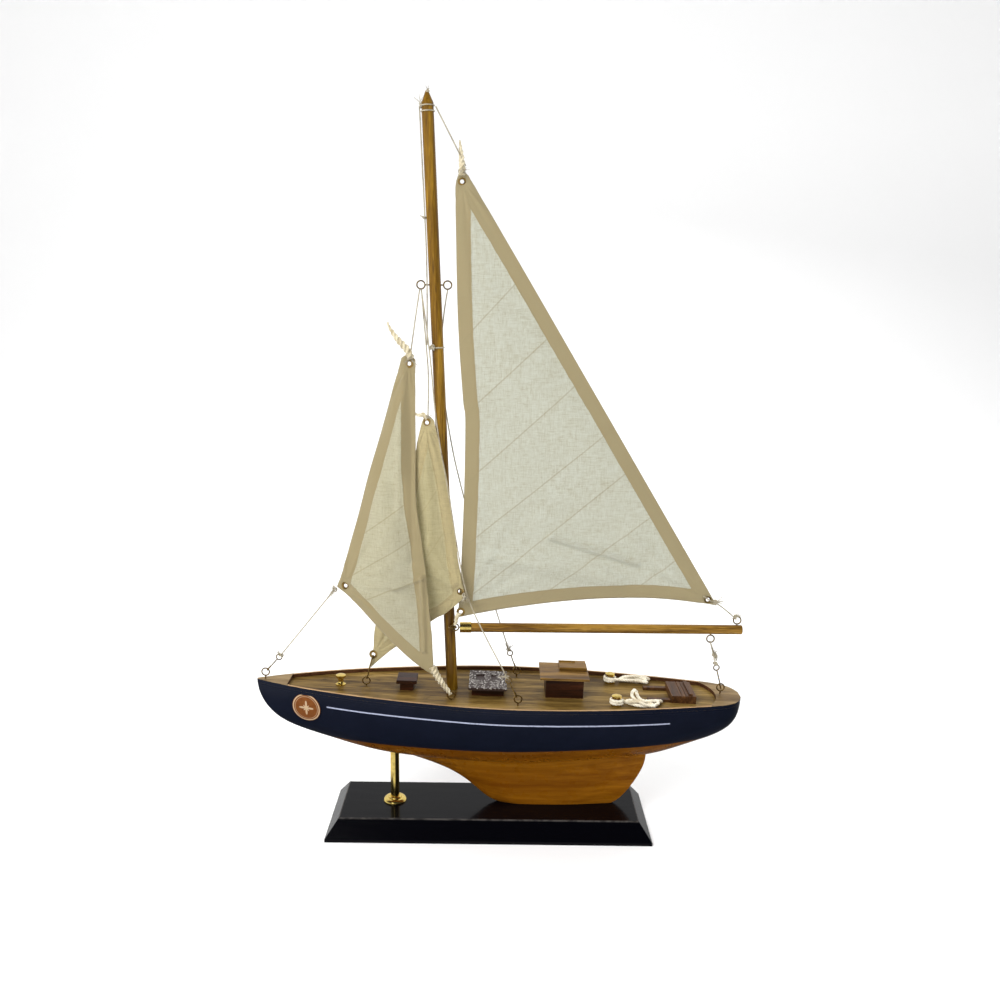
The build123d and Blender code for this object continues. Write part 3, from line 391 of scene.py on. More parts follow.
@dataclass(frozen=True)
class Metal:
    """Drawn or turned metal with hand-worn patches of tarnish."""

    name: str
    bright: tuple
    tarnish: tuple
    roughness: float = 0.2
    wear_and_edge_highlight: float = 0.5

    def paint(self) -> Paint:
        """Build the material."""
        paint = Paint(self.name)
        patches = paint.noise(None, 420.0, 4.0, 0.6, 0.5).rises(0.42, 0.68) * self.wear_and_edge_highlight
        lines = paint.noise(paint.stretched(350, 350, 5200), 1.0, 2.0)
        pits = paint.cells(None, 1900.0).rises(0.0, 0.22, 1.0, 0.0) * self.wear_and_edge_highlight
        paint.set(
            Base_Color=paint.mix(patches, self.bright, self.tarnish),
            Metallic=1.0,
            Roughness=patches * 0.22 + lines * 0.08 + self.roughness,
            Normal=paint.bump(lines * 0.3 - pits * 0.7, 0.00003),
        )
        return paint


@dataclass(frozen=True)
class HullPaint:
    """Gloss navy topsides over varnished amber wood, parted by a level paint line, with a pinstripe."""

    name: str = "hull_gloss"
    striped: bool = True
    wood: Timber = Timber(
        "amber", srgb(98, 54, 5), srgb(124, 75, 11), srgb(146, 94, 20), Grain.ALONG, 0.8, 2.4, 0.0
    )

    def topsides(self, paint: Paint) -> tuple[Value, Value]:
        """The navy colour with its pinstripe, and how far below the sheer each spot lies."""
        below = 0.0986 - paint.x * 0.0233 - paint.z
        cloud = paint.noise(None, 46.0, 3.0)
        navy = paint.mix(cloud, srgb(12, 16, 27), srgb(18, 22, 36))
        waver = paint.noise(None, 60.0, 1.0) * 0.00025
        line = abs(below - 0.0112 + waver).rises(0.00036, 0.0006, 1.0, 0.0)
        ends = paint.x.rises(-0.1095, -0.1085) * paint.x.rises(0.1185, 0.1195, 1.0, 0.0)
        thin = paint.noise(None, 900.0, 2.0).rises(0.25, 0.5, 0.55, 1.0)
        if self.striped:
            navy = paint.mix(line * ends * thin, navy, srgb(158, 164, 186))
        return navy, below

    def paint(self) -> Paint:
        """Build the material."""
        paint = Paint(self.name)
        navy, below = self.topsides(paint)
        amber, fibre, open_pores = self.wood.figure(paint)
        edge = paint.noise(None, 130.0, 2.0) * 0.0005
        over = (paint.z - (paint.x * 0.0155 + 0.06495) + edge).rises(-0.0001, 0.0002)
        # painted shade: the amber darkens towards the paint line, in a band under the navy topsides
        painted_shade = (paint.z - paint.x * 0.0155).rises(0.050, 0.0645, 0.0, 0.5)
        amber = paint.mix(painted_shade, amber, srgb(78, 42, 6))
        wave = paint.noise(None, 130.0, 2.0)
        # painted shadow: the navy is darkened to near black in a thin line just below the sheer, where the
        # rim meets the hull
        ridge = below.rises(0.0, 0.0007, 1.0, 0.0)
        paint.set(
            Base_Color=paint.mix(over, amber, paint.mix(ridge * 0.7, navy, srgb(8, 9, 16))),
            Roughness=wave * 0.08 + over * 0.05 + 0.24,
            Coat_Weight=0.6 - over * 0.52,
            Specular_IOR_Level=0.06,
            Normal=paint.bump(wave * 0.6 + fibre * (1.0 - over) * 0.05, 0.00008),
        )
        paint.surface.inputs["Coat Roughness"].default_value = 0.07
        return paint


@dataclass(frozen=True)
class RimPaint:
    """A rim piece: bare wood on its top and inside, the hull's navy on its outside."""

    name: str
    top: Timber
    inside: Timber

    def paint(self) -> Paint:
        """Build the material."""
        paint = Paint(self.name)
        navy, below = HullPaint(striped=False).topsides(paint)
        facing = paint.node("SeparateXYZ", {0: paint.node("TexCoord").value("Normal")})
        out_x, out_y, up = (facing.value(axis) for axis in range(3))
        outward = out_y * paint.y * 60.0 + out_x * (paint.x - 0.005) * 8.0
        top, fibre, open_pores = self.top.figure(paint)
        inner = self.inside.figure(paint)[0]
        is_top = up.rises(0.55, 0.75)
        is_out = outward.rises(-0.02, 0.02) * (1.0 - is_top)
        colour = paint.mix(is_top, inner, top)
        paint.set(
            Base_Color=paint.mix(is_out, colour, navy),
            Roughness=fibre * 0.15 + 0.34 - is_out * 0.1,
            Coat_Weight=0.08,
            Specular_IOR_Level=0.06,
            Normal=paint.bump(fibre * 0.4 - open_pores * 0.5, 0.00005),
        )
        return paint


@dataclass(frozen=True)
class Lacquer:
    """Thick gloss lacquer over open grain, with a painted highlight: a pale line along the top edges."""

    name: str
    colour: tuple
    top: float
    half_length: float
    half_width: float

    def paint(self) -> Paint:
        """Build the material."""
        paint = Paint(self.name)
        ripple = paint.noise(paint.stretched(26, 120, 120), 1.0, 3.0)
        grain = paint.noise(paint.stretched(40, 900, 900), 1.0, 3.0)
        specks = paint.cells(None, 260.0).rises(0.0, 0.1, 1.0, 0.0) * paint.noise(None, 70.0).rises(0.5, 0.6)
        near_y = abs(paint.y) - self.half_width
        near_x = abs(paint.x) - self.half_length
        edge = abs(near_y.most(near_x)).rises(0.0002, 0.0009, 1.0, 0.0) * paint.z.rises(
            self.top - 0.0012, self.top - 0.0003
        )
        # painted highlight: the top edges are mixed in patches towards pale grey and made rougher, where the
        # fillets would catch the light
        wear_and_edge_highlight = edge * paint.noise(None, 240.0, 3.0).rises(0.35, 0.6, 0.35, 1.0)
        paint.set(
            Base_Color=paint.mix(
                wear_and_edge_highlight * 0.4, paint.mix(specks * 0.3, self.colour, srgb(40, 39, 42)), srgb(104, 100, 96)
            ),
            Roughness=grain * 0.10 + wear_and_edge_highlight * 0.25 + 0.16, Coat_Weight=0.12, Specular_IOR_Level=0.05,
            Normal=paint.bump(ripple * 0.8 + grain * 0.15, 0.00025),
        )
        paint.surface.inputs["Coat Roughness"].default_value = 0.05
        return paint


@dataclass(frozen=True)
class Speckle:
    """Silver-grey paint broken into a fine pebble of dark gaps."""

    name: str
    node: str

    def paint(self) -> Paint:
        """Build the material; spots well under the tilted top lie in its slots and are left dark as painted
        shade.
        """
        paint = Paint(self.name)
        low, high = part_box(self.node)
        top = high[2] + 0.0233 * low[0]
        # painted shade: below the top the silver is left out, so the slot floors stay dark
        sunk = (paint.z + paint.x * 0.0233).rises(top - 0.0009, top - 0.0005)
        pebble = paint.cells(None, 760.0)
        patch = paint.noise(None, 900.0, 3.0).rises(0.44, 0.54)
        bright = pebble.rises(0.34, 0.46, 1.0, 0.0) * patch * sunk
        paint.set(
            # the dark colour is both the pebble's real gaps and the painted shade in the slots
            Base_Color=paint.mix(bright, srgb(44, 30, 26), srgb(222, 218, 210)),
            Roughness=pebble * 0.3 + 0.35,
            Metallic=bright * 0.35,
            Normal=paint.bump(bright, 0.0002),
        )
        return paint


@dataclass(frozen=True)
class CordStuff:
    """Soft cotton cord: pale, matt, with fibres lying along it and a little grime."""

    name: str
    pale: tuple
    grimy: tuple

    def paint(self) -> Paint:
        """Build the material."""
        paint = Paint(self.name)
        grime = paint.noise(None, 190.0, 3.0).rises(0.4, 0.75)
        fluff = paint.noise(None, 5200.0, 2.0, 0.7)
        paint.set(
            Base_Color=paint.mix((grime * 0.8 + fluff * 0.35 - 0.1).most(0.0), self.pale, self.grimy),
            Roughness=fluff * 0.1 + 0.8,
            Normal=paint.bump(fluff, 0.00006),
        )
        paint.set(Sheen_Weight=0.4, Subsurface_Weight=0.0)
        return paint


@dataclass(frozen=True)
class Cloth:
    """Unbleached sailcloth: weave and slubs, doubled hems with stitching, and lapped seams.

    The mesh carries hem, each spot's distance inside the hemmed edges. A seam is a line through two places in
    x and z.
    """

    name: str
    hem_width: float
    panel: tuple = srgb(203, 205, 194)
    hem: tuple = srgb(146, 132, 97)
    seams: tuple = ()
    seam_height: float = 1.0

    def paint(self) -> Paint:
        """Build the material."""
        paint = Paint(self.name)
        inside = paint.node(
            "Attribute", attribute_name="hem"
        ).value("Fac") + paint.noise(None, 120.0, 2.0) * 0.0008
        doubled = inside.rises(self.hem_width - 0.0001, self.hem_width + 0.0001, 1.0, 0.0)
        warp = paint.noise(paint.stretched(1500, 1500, 170), 1.0, 3.0, 0.75)
        weft = paint.noise(paint.stretched(170, 170, 1500), 1.0, 3.0, 0.75)
        thread = (paint.x * 13000.0).math("SINE") * (paint.z * 13000.0).math("SINE") * 0.5 + 0.5
        cloud = paint.noise(None, 38.0, 4.0)
        stitch = abs(inside - (self.hem_width - 0.0009)).rises(0.0001, 0.0003, 1.0, 0.0)
        dash = ((paint.x + paint.z * 0.7) * 2300.0).math("SINE").rises(-0.2, 0.2)
        lap, ridge = self.laps(paint)
        lap = lap * (1.0 - doubled)
        fleck = paint.cells(None, 95.0).rises(
            0.0, 0.05, 1.0, 0.0
        ) * paint.noise(None, 55.0, 1.0).rises(0.58, 0.66)
        threads = warp * 0.5 + weft * 0.5
        base = paint.mix(doubled, self.panel, self.hem)
        base = paint.mix(lap * 0.5, base, self.hem)
        slub = (warp.rises(0.56, 0.70) + weft.rises(0.56, 0.70)) * 0.34
        base = paint.mix((threads - 0.42) * 2.6 + slub * 0.6 + cloud * 0.14, base, srgb(148, 136, 102))
        base = paint.mix(stitch * dash * 0.5, base, srgb(150, 128, 84))
        base = paint.mix(fleck * 0.7, base, srgb(92, 74, 50))
        height = threads * 0.5 + thread * 0.35 + ridge * 0.8 - stitch * 1.0
        paint.set(Base_Color=base, Roughness=threads * 0.15 + 0.78, Normal=paint.bump(height, 0.00012))
        paint.set(Sheen_Weight=0.25)
        glow = paint.node("BsdfTranslucent", {"Color": self.panel})
        share = doubled.rises(0.0, 1.0, 0.42, 0.16) - lap * 0.15
        blended = paint.node("MixShader", {0: share.most(0.05)})
        paint.tree.links.new(paint.surface.outputs[0], blended.node.inputs[1])
        paint.tree.links.new(glow.node.outputs[0], blended.node.inputs[2])
        paint.tree.links.new(blended.node.outputs[0], paint.output.inputs["Surface"])
        return paint

    def laps(self, paint: Paint) -> tuple[Value, Value]:
        """How much a spot lies in a seam's lap, and the seam's ridge."""
        lap = ridge = Value(paint, paint.node("Value").node.outputs[0]) * 0.0
        for (x0, z0), (x1, z1) in self.seams:
            along = np.array([x1 - x0, z1 - z0])
            across = np.array([-along[1], along[0]]) / np.linalg.norm(along)
            off = abs(paint.x * float(across[0]) + paint.z * float(across[1]) - float(across @ [x0, z0]))
            lap = lap.most(off.rises(0.0003, 0.0006, 1.0, 0.0))
            ridge = ridge.most(off.rises(0.0, 0.0006, self.seam_height, 0.0))
        return lap, ridge


class Finish:
    """Every material, made once."""

    def __init__(self) -> None:
        """Make every material of the model once."""
        varnished = Timber(
            "varnished", srgb(74, 46, 5), srgb(112, 80, 13), srgb(150, 114, 34), Grain.UP, 0.5, 0.9
        )
        self.mast = varnished.paint()
        self.boom = Timber(
            "boom_wood", srgb(70, 44, 10), srgb(124, 90, 30), srgb(160, 124, 54), Grain.ALONG, 0.4, 0.8
        ).paint()
        planking = Timber(
            "deck_wood", srgb(56, 38, 14), srgb(108, 85, 42), srgb(146, 120, 68), Grain.ALONG, 0.3, 0.9, 0.9
        )
        self.deck = RimPaint("deck_sheet", planking, planking).paint()
        rosy = Timber(
            "rosy_wood", srgb(84, 64, 38), srgb(130, 108, 74), srgb(156, 134, 96), Grain.ALONG, 0.3, 1.0,
            0.6
        )
        pale = Timber(
            "rim_wood", srgb(124, 92, 58), srgb(176, 142, 100), srgb(198, 168, 126), Grain.ALONG, 0.2
        )
        brown = Timber("inner_wood", srgb(46, 26, 16), srgb(74, 46, 28), srgb(96, 64, 40), Grain.ALONG, 0.2)
        self.blocks = RimPaint("end_blocks", rosy, brown).paint()
        self.rim = RimPaint("bulwarks", pale, brown).paint()
        self.roof = Timber(
            "roof_wood", srgb(50, 30, 9), srgb(104, 75, 28), srgb(146, 112, 52), Grain.ALONG, 0.35, 0.8
        ).paint()
        self.red = Timber(
            "red_wood", srgb(22, 9, 3), srgb(46, 21, 8), srgb(70, 36, 16), Grain.ALONG, 0.3
        ).paint()
        self.plank = Timber(
            "plank_wood", srgb(38, 20, 9), srgb(76, 48, 24), srgb(106, 72, 40), Grain.ACROSS, 0.3
        ).paint()
        self.brass = Metal("brass", srgb(236, 208, 120), srgb(176, 138, 60), 0.12, 0.35).paint()
        self.bronze = Metal("bronze_wire", srgb(158, 130, 76), srgb(70, 50, 26), 0.26, 0.8).paint()
        self.steel = Metal("zinc_steel", srgb(170, 170, 172), srgb(110, 110, 112), 0.3, 0.4).paint()
        self.copper = Metal("copper_disc", srgb(176, 104, 62), srgb(120, 66, 40), 0.38, 0.7).paint()
        self.silver = Speckle("silver_speckle", "skylight_lid").paint()
        self.hull = HullPaint().paint()
        self.lacquer = Lacquer("black_lacquer", srgb(3, 3, 6), 0.0135, 0.1015, 0.026).paint()
        self.cord = CordStuff("cord", srgb(172, 163, 140), srgb(112, 100, 76)).paint()
        self.rope = CordStuff("rope", srgb(238, 232, 214), srgb(196, 180, 148)).paint()
        self.tail = CordStuff("cloth_tail", srgb(206, 196, 168), srgb(160, 144, 108)).paint()

    def dress(self, node: str, paint: Paint) -> None:
        """Give a CAD node its material."""
        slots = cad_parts[node].material_slots
        for slot in slots:
            slot.material = paint.material
        log.info("dressed %s in %s", node, paint.material.name)


def put_on(piece: bpy.types.Object, body: str, paint: Paint, slot: str, *replaced: str) -> bpy.types.Object:
    """Give a new piece its material and body, and hide the CAD nodes it stands for.

    Args:
        piece: the new object.
        body: the CAD body it rides on.
        paint: its material.
        slot: not used.
        replaced: CAD nodes it replaces.

    Returns:
        The same piece.
    """
    piece.data.materials.clear()
    piece.data.materials.append(paint.material)
    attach(piece, body)
    if replaced:
        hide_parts(*replaced)
    log.info("made %s on %s", piece.name, body)
    return piece


# ---------------------------------------------------------------- stage
@dataclass
class Stage:
    """The camera, a pale sheet that sweeps up behind the model, and soft studio lamps."""

    lens: float = 35.225
    place: Point = (0.003443, -0.63329, 0.35366)
    yaw: float = 0.0022
    pitch: float = 0.1949
    roll: float = 0.0131

    def build_camera(self) -> None:
        """Make the camera: turned aft by yaw, tipped down by pitch and rolled about its own axis."""
        ahead = Vector(
            (
                np.sin(self.yaw) * np.cos(self.pitch), np.cos(self.yaw) * np.cos(self.pitch),
                -np.sin(self.pitch)
            )
        )
        right = Vector((np.cos(self.yaw), -np.sin(self.yaw), 0.0))
        up = right.cross(ahead)
        level, upright = (
            np.cos(self.roll) * right + np.sin(self.roll) * up,
            -np.sin(self.roll) * right + np.cos(self.roll) * up,
        )
        data = bpy.data.cameras.new("camera")
        data.lens, data.sensor_width = self.lens, 36.0
        data.clip_start = 0.01
        camera = bpy.data.objects.new("camera", data)
        turned = Matrix((level, upright, -ahead)).transposed().to_4x4()
        camera.matrix_world = Matrix.Translation(self.place) @ turned
        bpy.context.scene.collection.objects.link(camera)
        bpy.context.scene.camera = camera

    def build_sheet(self) -> None:
        """Sweep the floor into a wall: a level run, a quarter circle, then straight up."""
        turn = np.linspace(0, np.pi / 2, 24)
        bend = np.stack([1.1 + 0.8 * np.sin(turn), 0.8 - 0.8 * np.cos(turn)], axis=1)
        profile = np.vstack([[[-3.0, 0.0], [0.0, 0.0]], bend, [[1.9, 3.5]]])
        across = np.linspace(-3.5, 3.5, 8)
        grid = np.stack(
            np.broadcast_arrays(across[None, :], profile[:, 0, None], profile[:, 1, None]), axis=-1
        )
        shape = Shape()
        shape.add_grid(grid)
        sheet = shape.to_object("studio_sheet")
        paint = Paint("studio_paper")
        fine = paint.noise(None, 900.0, 3.0)
        paint.set(Base_Color=paint.mix(fine, srgb(246, 246, 246), srgb(252, 252, 252)), Roughness=0.9)
        paint.set(Emission_Color=(1.0, 1.0, 1.0, 1.0), Emission_Strength=0.04)
        paint.set(Normal=paint.bump(fine, 0.00002))
        sheet.data.materials.append(paint.material)
        sheet.visible_glossy = False

    def lamp(
        self, name: str, place: Point, aim: Point, size: float, energy: float, mirrored: bool = False
    ) -> None:
        """One square soft lamp; gloss shows it only if mirrored."""
        data = bpy.data.lights.new(name, "AREA")
        data.shape, data.size, data.energy = "SQUARE", size, energy
        made = bpy.data.objects.new(name, data)
        made.location = place
        made.visible_glossy = mirrored
        made.rotation_euler = (Vector(aim) - Vector(place)).to_track_quat("-Z", "Y").to_euler()
        bpy.context.scene.collection.objects.link(made)

    def build(self) -> None:
        """Make the whole stage."""
        self.build_camera()
        self.build_sheet()
        world = bpy.data.worlds.new("studio")
        world.use_nodes = True
        tree = world.node_tree
        seen = tree.nodes["Background"]
        room = tree.nodes.new("ShaderNodeBackground")
        way = tree.nodes.new("ShaderNodeSeparateXYZ")

        def rise(axis: int, low: float, high: float, least: float, most: float) -> bpy.types.NodeSocket:
            """Brightness from least to most as one axis of the direction goes from low to high."""
            made = tree.nodes.new("ShaderNodeMapRange")
            tree.links.new(way.outputs[axis], made.inputs[0])
            for index, given in enumerate((low, high, least, most)):
                made.inputs[index + 1].default_value = given
            return made.outputs[0]

        def joined(
            operation: str, first: bpy.types.NodeSocket, second: bpy.types.NodeSocket
        ) -> bpy.types.NodeSocket:
            """Two brightnesses joined by one operation."""
            made = tree.nodes.new("ShaderNodeMath")
            made.operation = operation
            tree.links.new(first, made.inputs[0])
            tree.links.new(second, made.inputs[1])
            return made.outputs[0]

        soft_box = joined("MULTIPLY", rise(0, 0.34, 0.1, 0.0, 0.9), rise(2, -0.6, -0.5, 0.0, 1.0))
        soft_box = joined("MULTIPLY", soft_box, rise(2, 0.25, 0.5, 1.0, 0.05))
        behind = joined("MULTIPLY", rise(1, -0.05, 0.3, 0.05, 0.9), rise(2, -0.5, -0.1, 0.12, 1.0))
        lit = joined("MAXIMUM", behind, soft_box)
        path, mixed = tree.nodes.new("ShaderNodeLightPath"), tree.nodes.new("ShaderNodeMixShader")
        white = tree.nodes.new("ShaderNodeMapRange")
        white.inputs[3].default_value, white.inputs[4].default_value = 0.5, 1.0
        tree.links.new(path.outputs["Is Camera Ray"], white.inputs[0])
        tree.links.new(white.outputs[0], seen.inputs[1])
        tree.links.new(tree.nodes.new("ShaderNodeTexCoord").outputs["Generated"], way.inputs[0])
        tree.links.new(lit, room.inputs[1])
        tree.links.new(path.outputs["Is Glossy Ray"], mixed.inputs[0])
        tree.links.new(seen.outputs[0], mixed.inputs[1])
        tree.links.new(room.outputs[0], mixed.inputs[2])
        tree.links.new(mixed.outputs[0], tree.nodes["World Output"].inputs[0])
        for background in (seen, room):
            background.inputs[0].default_value = (1, 1, 1, 1)
        bpy.context.scene.world = world
        bpy.context.scene.view_settings.view_transform = "Standard"
        self.lamp("key", (-1.0, -1.0, 1.3), (0, 0, 0.2), 0.9, 32.0)
        self.lamp("fill", (1.4, -1.0, 0.9), (0, 0, 0.2), 1.0, 9.0)
        self.lamp("sparkle", (-0.5, -1.2, 0.9), (0, 0, 0.1), 0.22, 1.6, True)
        self.lamp("back", (0.2, 1.0, 1.4), (0, 0, 0.3), 1.4, 16.0)
        log.info("stage built")


# ---------------------------------------------------------------- cords
def spline_of(name: str, route: Sequence[Point]) -> np.ndarray:
    """The smooth line of a cord: the points of a NURBS spline whose control points are the route."""
    curve = bpy.data.curves.new(name + "_route", "CURVE")
    curve.dimensions = "3D"
    curve.resolution_u = 24
    spline = curve.splines.new("NURBS")
    spline.points.add(len(route) - 1)
    spline.points.foreach_set("co", np.c_[np.asarray(route, dtype=float), np.ones(len(route))].ravel())
    spline.order_u = 3
    spline.use_endpoint_u = True
    holder = bpy.data.objects.new(name + "_route", curve)
    bpy.context.scene.collection.objects.link(holder)
    mesh = bpy.data.meshes.new_from_object(holder)
    line = np.empty(3 * len(mesh.vertices))
    mesh.vertices.foreach_get("co", line)
    bpy.data.objects.remove(holder)
    bpy.data.curves.remove(curve)
    bpy.data.meshes.remove(mesh)
    return line.reshape(-1, 3)


@dataclass
class Cord:
    """A three-strand cord along a smooth route."""

    # How far the strands are laid out for each unit of diameter, so that the twist fills it.
    STRAND_REACH: ClassVar[float] = 0.64

    name: str
    body: str
    route: list[Point]
    replaced: tuple[str, ...] = ()
    diameter: float = 0.0007
    side: Point = (0, 1, 0)
    lay: str = "taut"
    far_end: str = "object"
    stiffness: str = "limp"

    def build(self, paint: Paint) -> bpy.types.Object:
        line = spline_of(self.name, self.route)
        length = run_along(line)[-1]
        pitch = 3.2 * self.diameter
        line = resample(line, max(12, int(length / pitch * 9)))
        shape = Shape()
        shape.add_strands(line, self.STRAND_REACH * self.diameter, pitch, self.side, 6)
        piece = put_on(shape.to_object(self.name), self.body, paint, "cord", *self.replaced)
        log.info("%s is %.1f mm long", self.name, 1000 * length)
        return piece


@dataclass
class Knot:
    """A small overhand knot with frayed ends."""

    name: str
    body: str
    centre: Point
    size: float = 0.0011
    turn: Point = (0, 0, 1)
    tails: tuple[tuple[Point, float], ...] = ()
    cord: float = 0.00035

    def build(self, paint: Paint) -> bpy.types.Object:
        """Make the knot: a trefoil of cord, and tufts whose fibres fan out from it."""
        around = np.linspace(0, 2 * np.pi, 61)
        flat = np.stack([np.sin(around) + 2 * np.sin(2 * around), np.cos(around) - 2 * np.cos(2 * around),
                         -1.3 * np.sin(3 * around)], axis=1)
        turned = np.array(Vector((0, 0, 1)).rotation_difference(Vector(self.turn)).to_matrix())
        centre = np.asarray(self.centre)
        line = centre + self.size / 3 * flat @ turned.T
        shape = Shape()
        shape.add_tube(line, self.cord, (0.3, 0.9, 0.31), 8)
        for index, (reach, spread) in enumerate(self.tails):
            self.add_tuft(shape, centre, np.asarray(reach), spread, index)
        return put_on(shape.to_object(self.name), self.body, paint, "cord")

    def add_tuft(self, shape: Shape, start: np.ndarray, reach: np.ndarray, spread: float, index: int) -> None:
        """Fan fibres along reach.

        Each bends by its own sideways amount that grows with the square of the run.
        """
        random = np.random.default_rng(7 + index + int(1e6 * abs(start).sum()))
        share = np.linspace(0, 1, 9)[:, None]
        for _ in range(9):
            bend = random.normal(size=3) * spread
            wave = np.sin(share * random.uniform(3, 7)) * random.normal(size=3) * spread * 0.25
            line = start + reach * share * random.uniform(0.75, 1.05) + bend * share**2 + wave
            shape.add_tube(line, np.linspace(0.00016, 0.00007, 9), (0.4, 0.8, 0.2), 5)


@dataclass
class Tail:
    """A corner of cloth rolled and twisted to a point."""

    name: str
    body: str
    route: list[Point]
    widths: tuple[float, float, float] = (0.0019, 0.0015, 0.0004)
    turns: float = 2.2

    def build(self, paint: Paint) -> bpy.types.Object:
        """Make the tail: rings with three soft folds each that turn as they go along the route."""
        line = smooth_line(self.route, 90)
        first, second = frames(line, (0.2, 0.9, 0.1))
        share = np.linspace(0, 1, len(line))
        width = np.interp(share, [0, 0.5, 1], self.widths)
        angle = np.linspace(0, 2 * np.pi, 28, endpoint=False)
        lobes = 1 + 0.24 * np.cos(3 * (angle[None] - 2 * np.pi * self.turns * share[:, None]))
        creased = lobes - 0.16 * np.abs(
            np.cos(3.5 * (angle[None] - 2 * np.pi * (self.turns + 0.4) * share[:, None]))
        )
        radius = (width[:, None] * creased)[..., None]
        ring = np.cos(angle)[None, :, None] * first[:, None] + np.sin(angle)[None, :, None] * second[:, None]
        shape = Shape()
        shape.add_grid(line[:, None] + radius * ring, True, True)
        return put_on(shape.to_object(self.name), self.body, paint, "sailcloth")


# ---------------------------------------------------------------- sails
@dataclass(frozen=True)
class Fold:
    """A soft ridge in cloth from one place to another in x and z: how wide and how high it stands."""

    start: tuple[float, float]
    end: tuple[float, float]
    width: float
    height: float


@dataclass
class Sail:
    """A cloth sail stretched between curved edges, on the plane of its three grommets.

    Edges are places in x and z, in metres: foot and head run aft, luff and leech run up.
    """

    name: str
    body: str
    corners: tuple[Point, Point, Point]
    foot: list
    head: list
    luff: list
    leech: list
    grommets: list
    cloth: Cloth
    folds: tuple[Fold, ...] = ()
    belly: float = 0.003
    pull: float = 0.0006
    rows: int = 230
    columns: int = 130
    hung_from: tuple[str, ...] = ()

    def outline(self) -> np.ndarray:
        """The hemmed edges as one line."""
        return np.vstack(
            [smooth_line(self.luff[::-1], 60), smooth_line(self.foot, 60), smooth_line(self.leech, 60)]
        )

    def flat_grid(self) -> tuple[np.ndarray, np.ndarray, np.ndarray]:
        """Fill the four edges: the sum of the two straight blends less the blend of the corners."""
        foot, head = smooth_line(self.foot, self.columns), smooth_line(self.head, self.columns)
        luff, leech = smooth_line(self.luff, self.rows), smooth_line(self.leech, self.rows)
        across = np.linspace(0, 1, self.columns)[None, :, None]
        upward = np.linspace(0, 1, self.rows)[:, None, None]
        ends = (1 - across) * luff[:, None] + across * leech[:, None]
        sides = (1 - upward) * foot[None] + upward * head[None]
        corners = (1 - upward) * ((1 - across) * foot[0] + across * foot[-1])
        corners = corners + upward * ((1 - across) * head[0] + across * head[-1])
        return ends + sides - corners, across[..., 0], upward[..., 0]

    def raised(self, spots: np.ndarray, across: np.ndarray, upward: np.ndarray) -> np.ndarray:
        """How far each spot stands to port: the belly, the folds, and wrinkles that fan from the grommets."""
        stand = self.belly * np.sin(np.pi * across**0.8) * np.sin(np.pi * np.clip(upward, 0, 1) ** 0.9)
        for fold in self.folds:
            line = np.linspace(fold.start, fold.end, 24)
            away = distance_to_line(spots.reshape(-1, 2), line).reshape(spots.shape[:2])
            stand = stand + fold.height * np.exp(-((away / fold.width) ** 2))
        calm = np.ones(spots.shape[:2])
        for index, grommet in enumerate(self.grommets):
            offset = spots - np.asarray(grommet)
            far = np.linalg.norm(offset, axis=-1)
            angle = np.arctan2(offset[..., 1], offset[..., 0])
            rays = np.sin(17 * angle + 2.1 * index) + 0.6 * np.sin(29 * angle + index)
            stand = stand + self.pull * rays * (far / 0.03) * np.exp(-far / 0.03)
            calm = calm * (1 - np.exp(-((far / 0.0052) ** 4)))
        drift = np.sin(spots[..., 0] * 71 + 9 * upward) * np.sin(spots[..., 1] * 43 + 4 * across)
        return (stand + 0.25 * self.belly * drift) * calm

    def build(self) -> bpy.types.Object:
        tack, clew, head = (np.asarray(corner) for corner in self.corners)
        normal = unit(np.cross(clew - tack, head - tack))
        normal = normal if normal[1] < 0 else -normal
        spots, across, upward = self.flat_grid()
        y = tack[1] - (
            normal[0] * (spots[..., 0] - tack[0]) + normal[2] * (spots[..., 1] - tack[2])
        ) / normal[1]
        grid = np.stack([spots[..., 0], y, spots[..., 1]], axis=-1)
        grid = grid + self.raised(spots, across, upward)[..., None] * normal
        faces = grid_faces(self.rows, self.columns)
        centres = spots.reshape(-1, 2)[faces].mean(axis=1)
        away = np.stack(
            [np.linalg.norm(centres - np.asarray(spot), axis=1) for spot in self.grommets]
        ).min(axis=0)
        shape = Shape([grid.reshape(-1, 3)], faces[away > 0.002].tolist(), grid[..., 0].size)
        piece = shape.to_object(self.name + "_cloth")
        inside = distance_to_line(spots.reshape(-1, 2), self.outline())
        piece.data.attributes.new("hem", "FLOAT", "POINT").data.foreach_set("value", inside)
        group = piece.vertex_groups.new(name="doubled")
        group.add(np.flatnonzero(inside < self.cloth.hem_width).tolist(), 1.0, "REPLACE")
        thick = piece.modifiers.new("thick", "SOLIDIFY")
        thick.thickness, thick.offset = 0.00062, 0.0
        thick.vertex_group, thick.thickness_vertex_group = group.name, 0.5
        put_on(piece, self.body, self.cloth.paint(), "sailcloth", self.name)
        size = spots.reshape(-1, 2).max(axis=0) - spots.reshape(-1, 2).min(axis=0)
        a, b = spots[:-1, :-1], spots[1:, 1:]
        c, d = spots[1:, :-1], spots[:-1, 1:]
        cross = (b - a)[..., 0] * (c - d)[..., 1] - (b - a)[..., 1] * (c - d)[..., 0]
        log.info("%s is %.0f by %.0f mm", self.name, *(1000 * size))
        return piece


# ---------------------------------------------------------------- the model's sub-assemblies
def mm(*points: Sequence[float]) -> list[tuple[float, ...]]:
    """Places given in millimetres, in metres."""
    return [tuple(MM * part for part in point) for point in points]


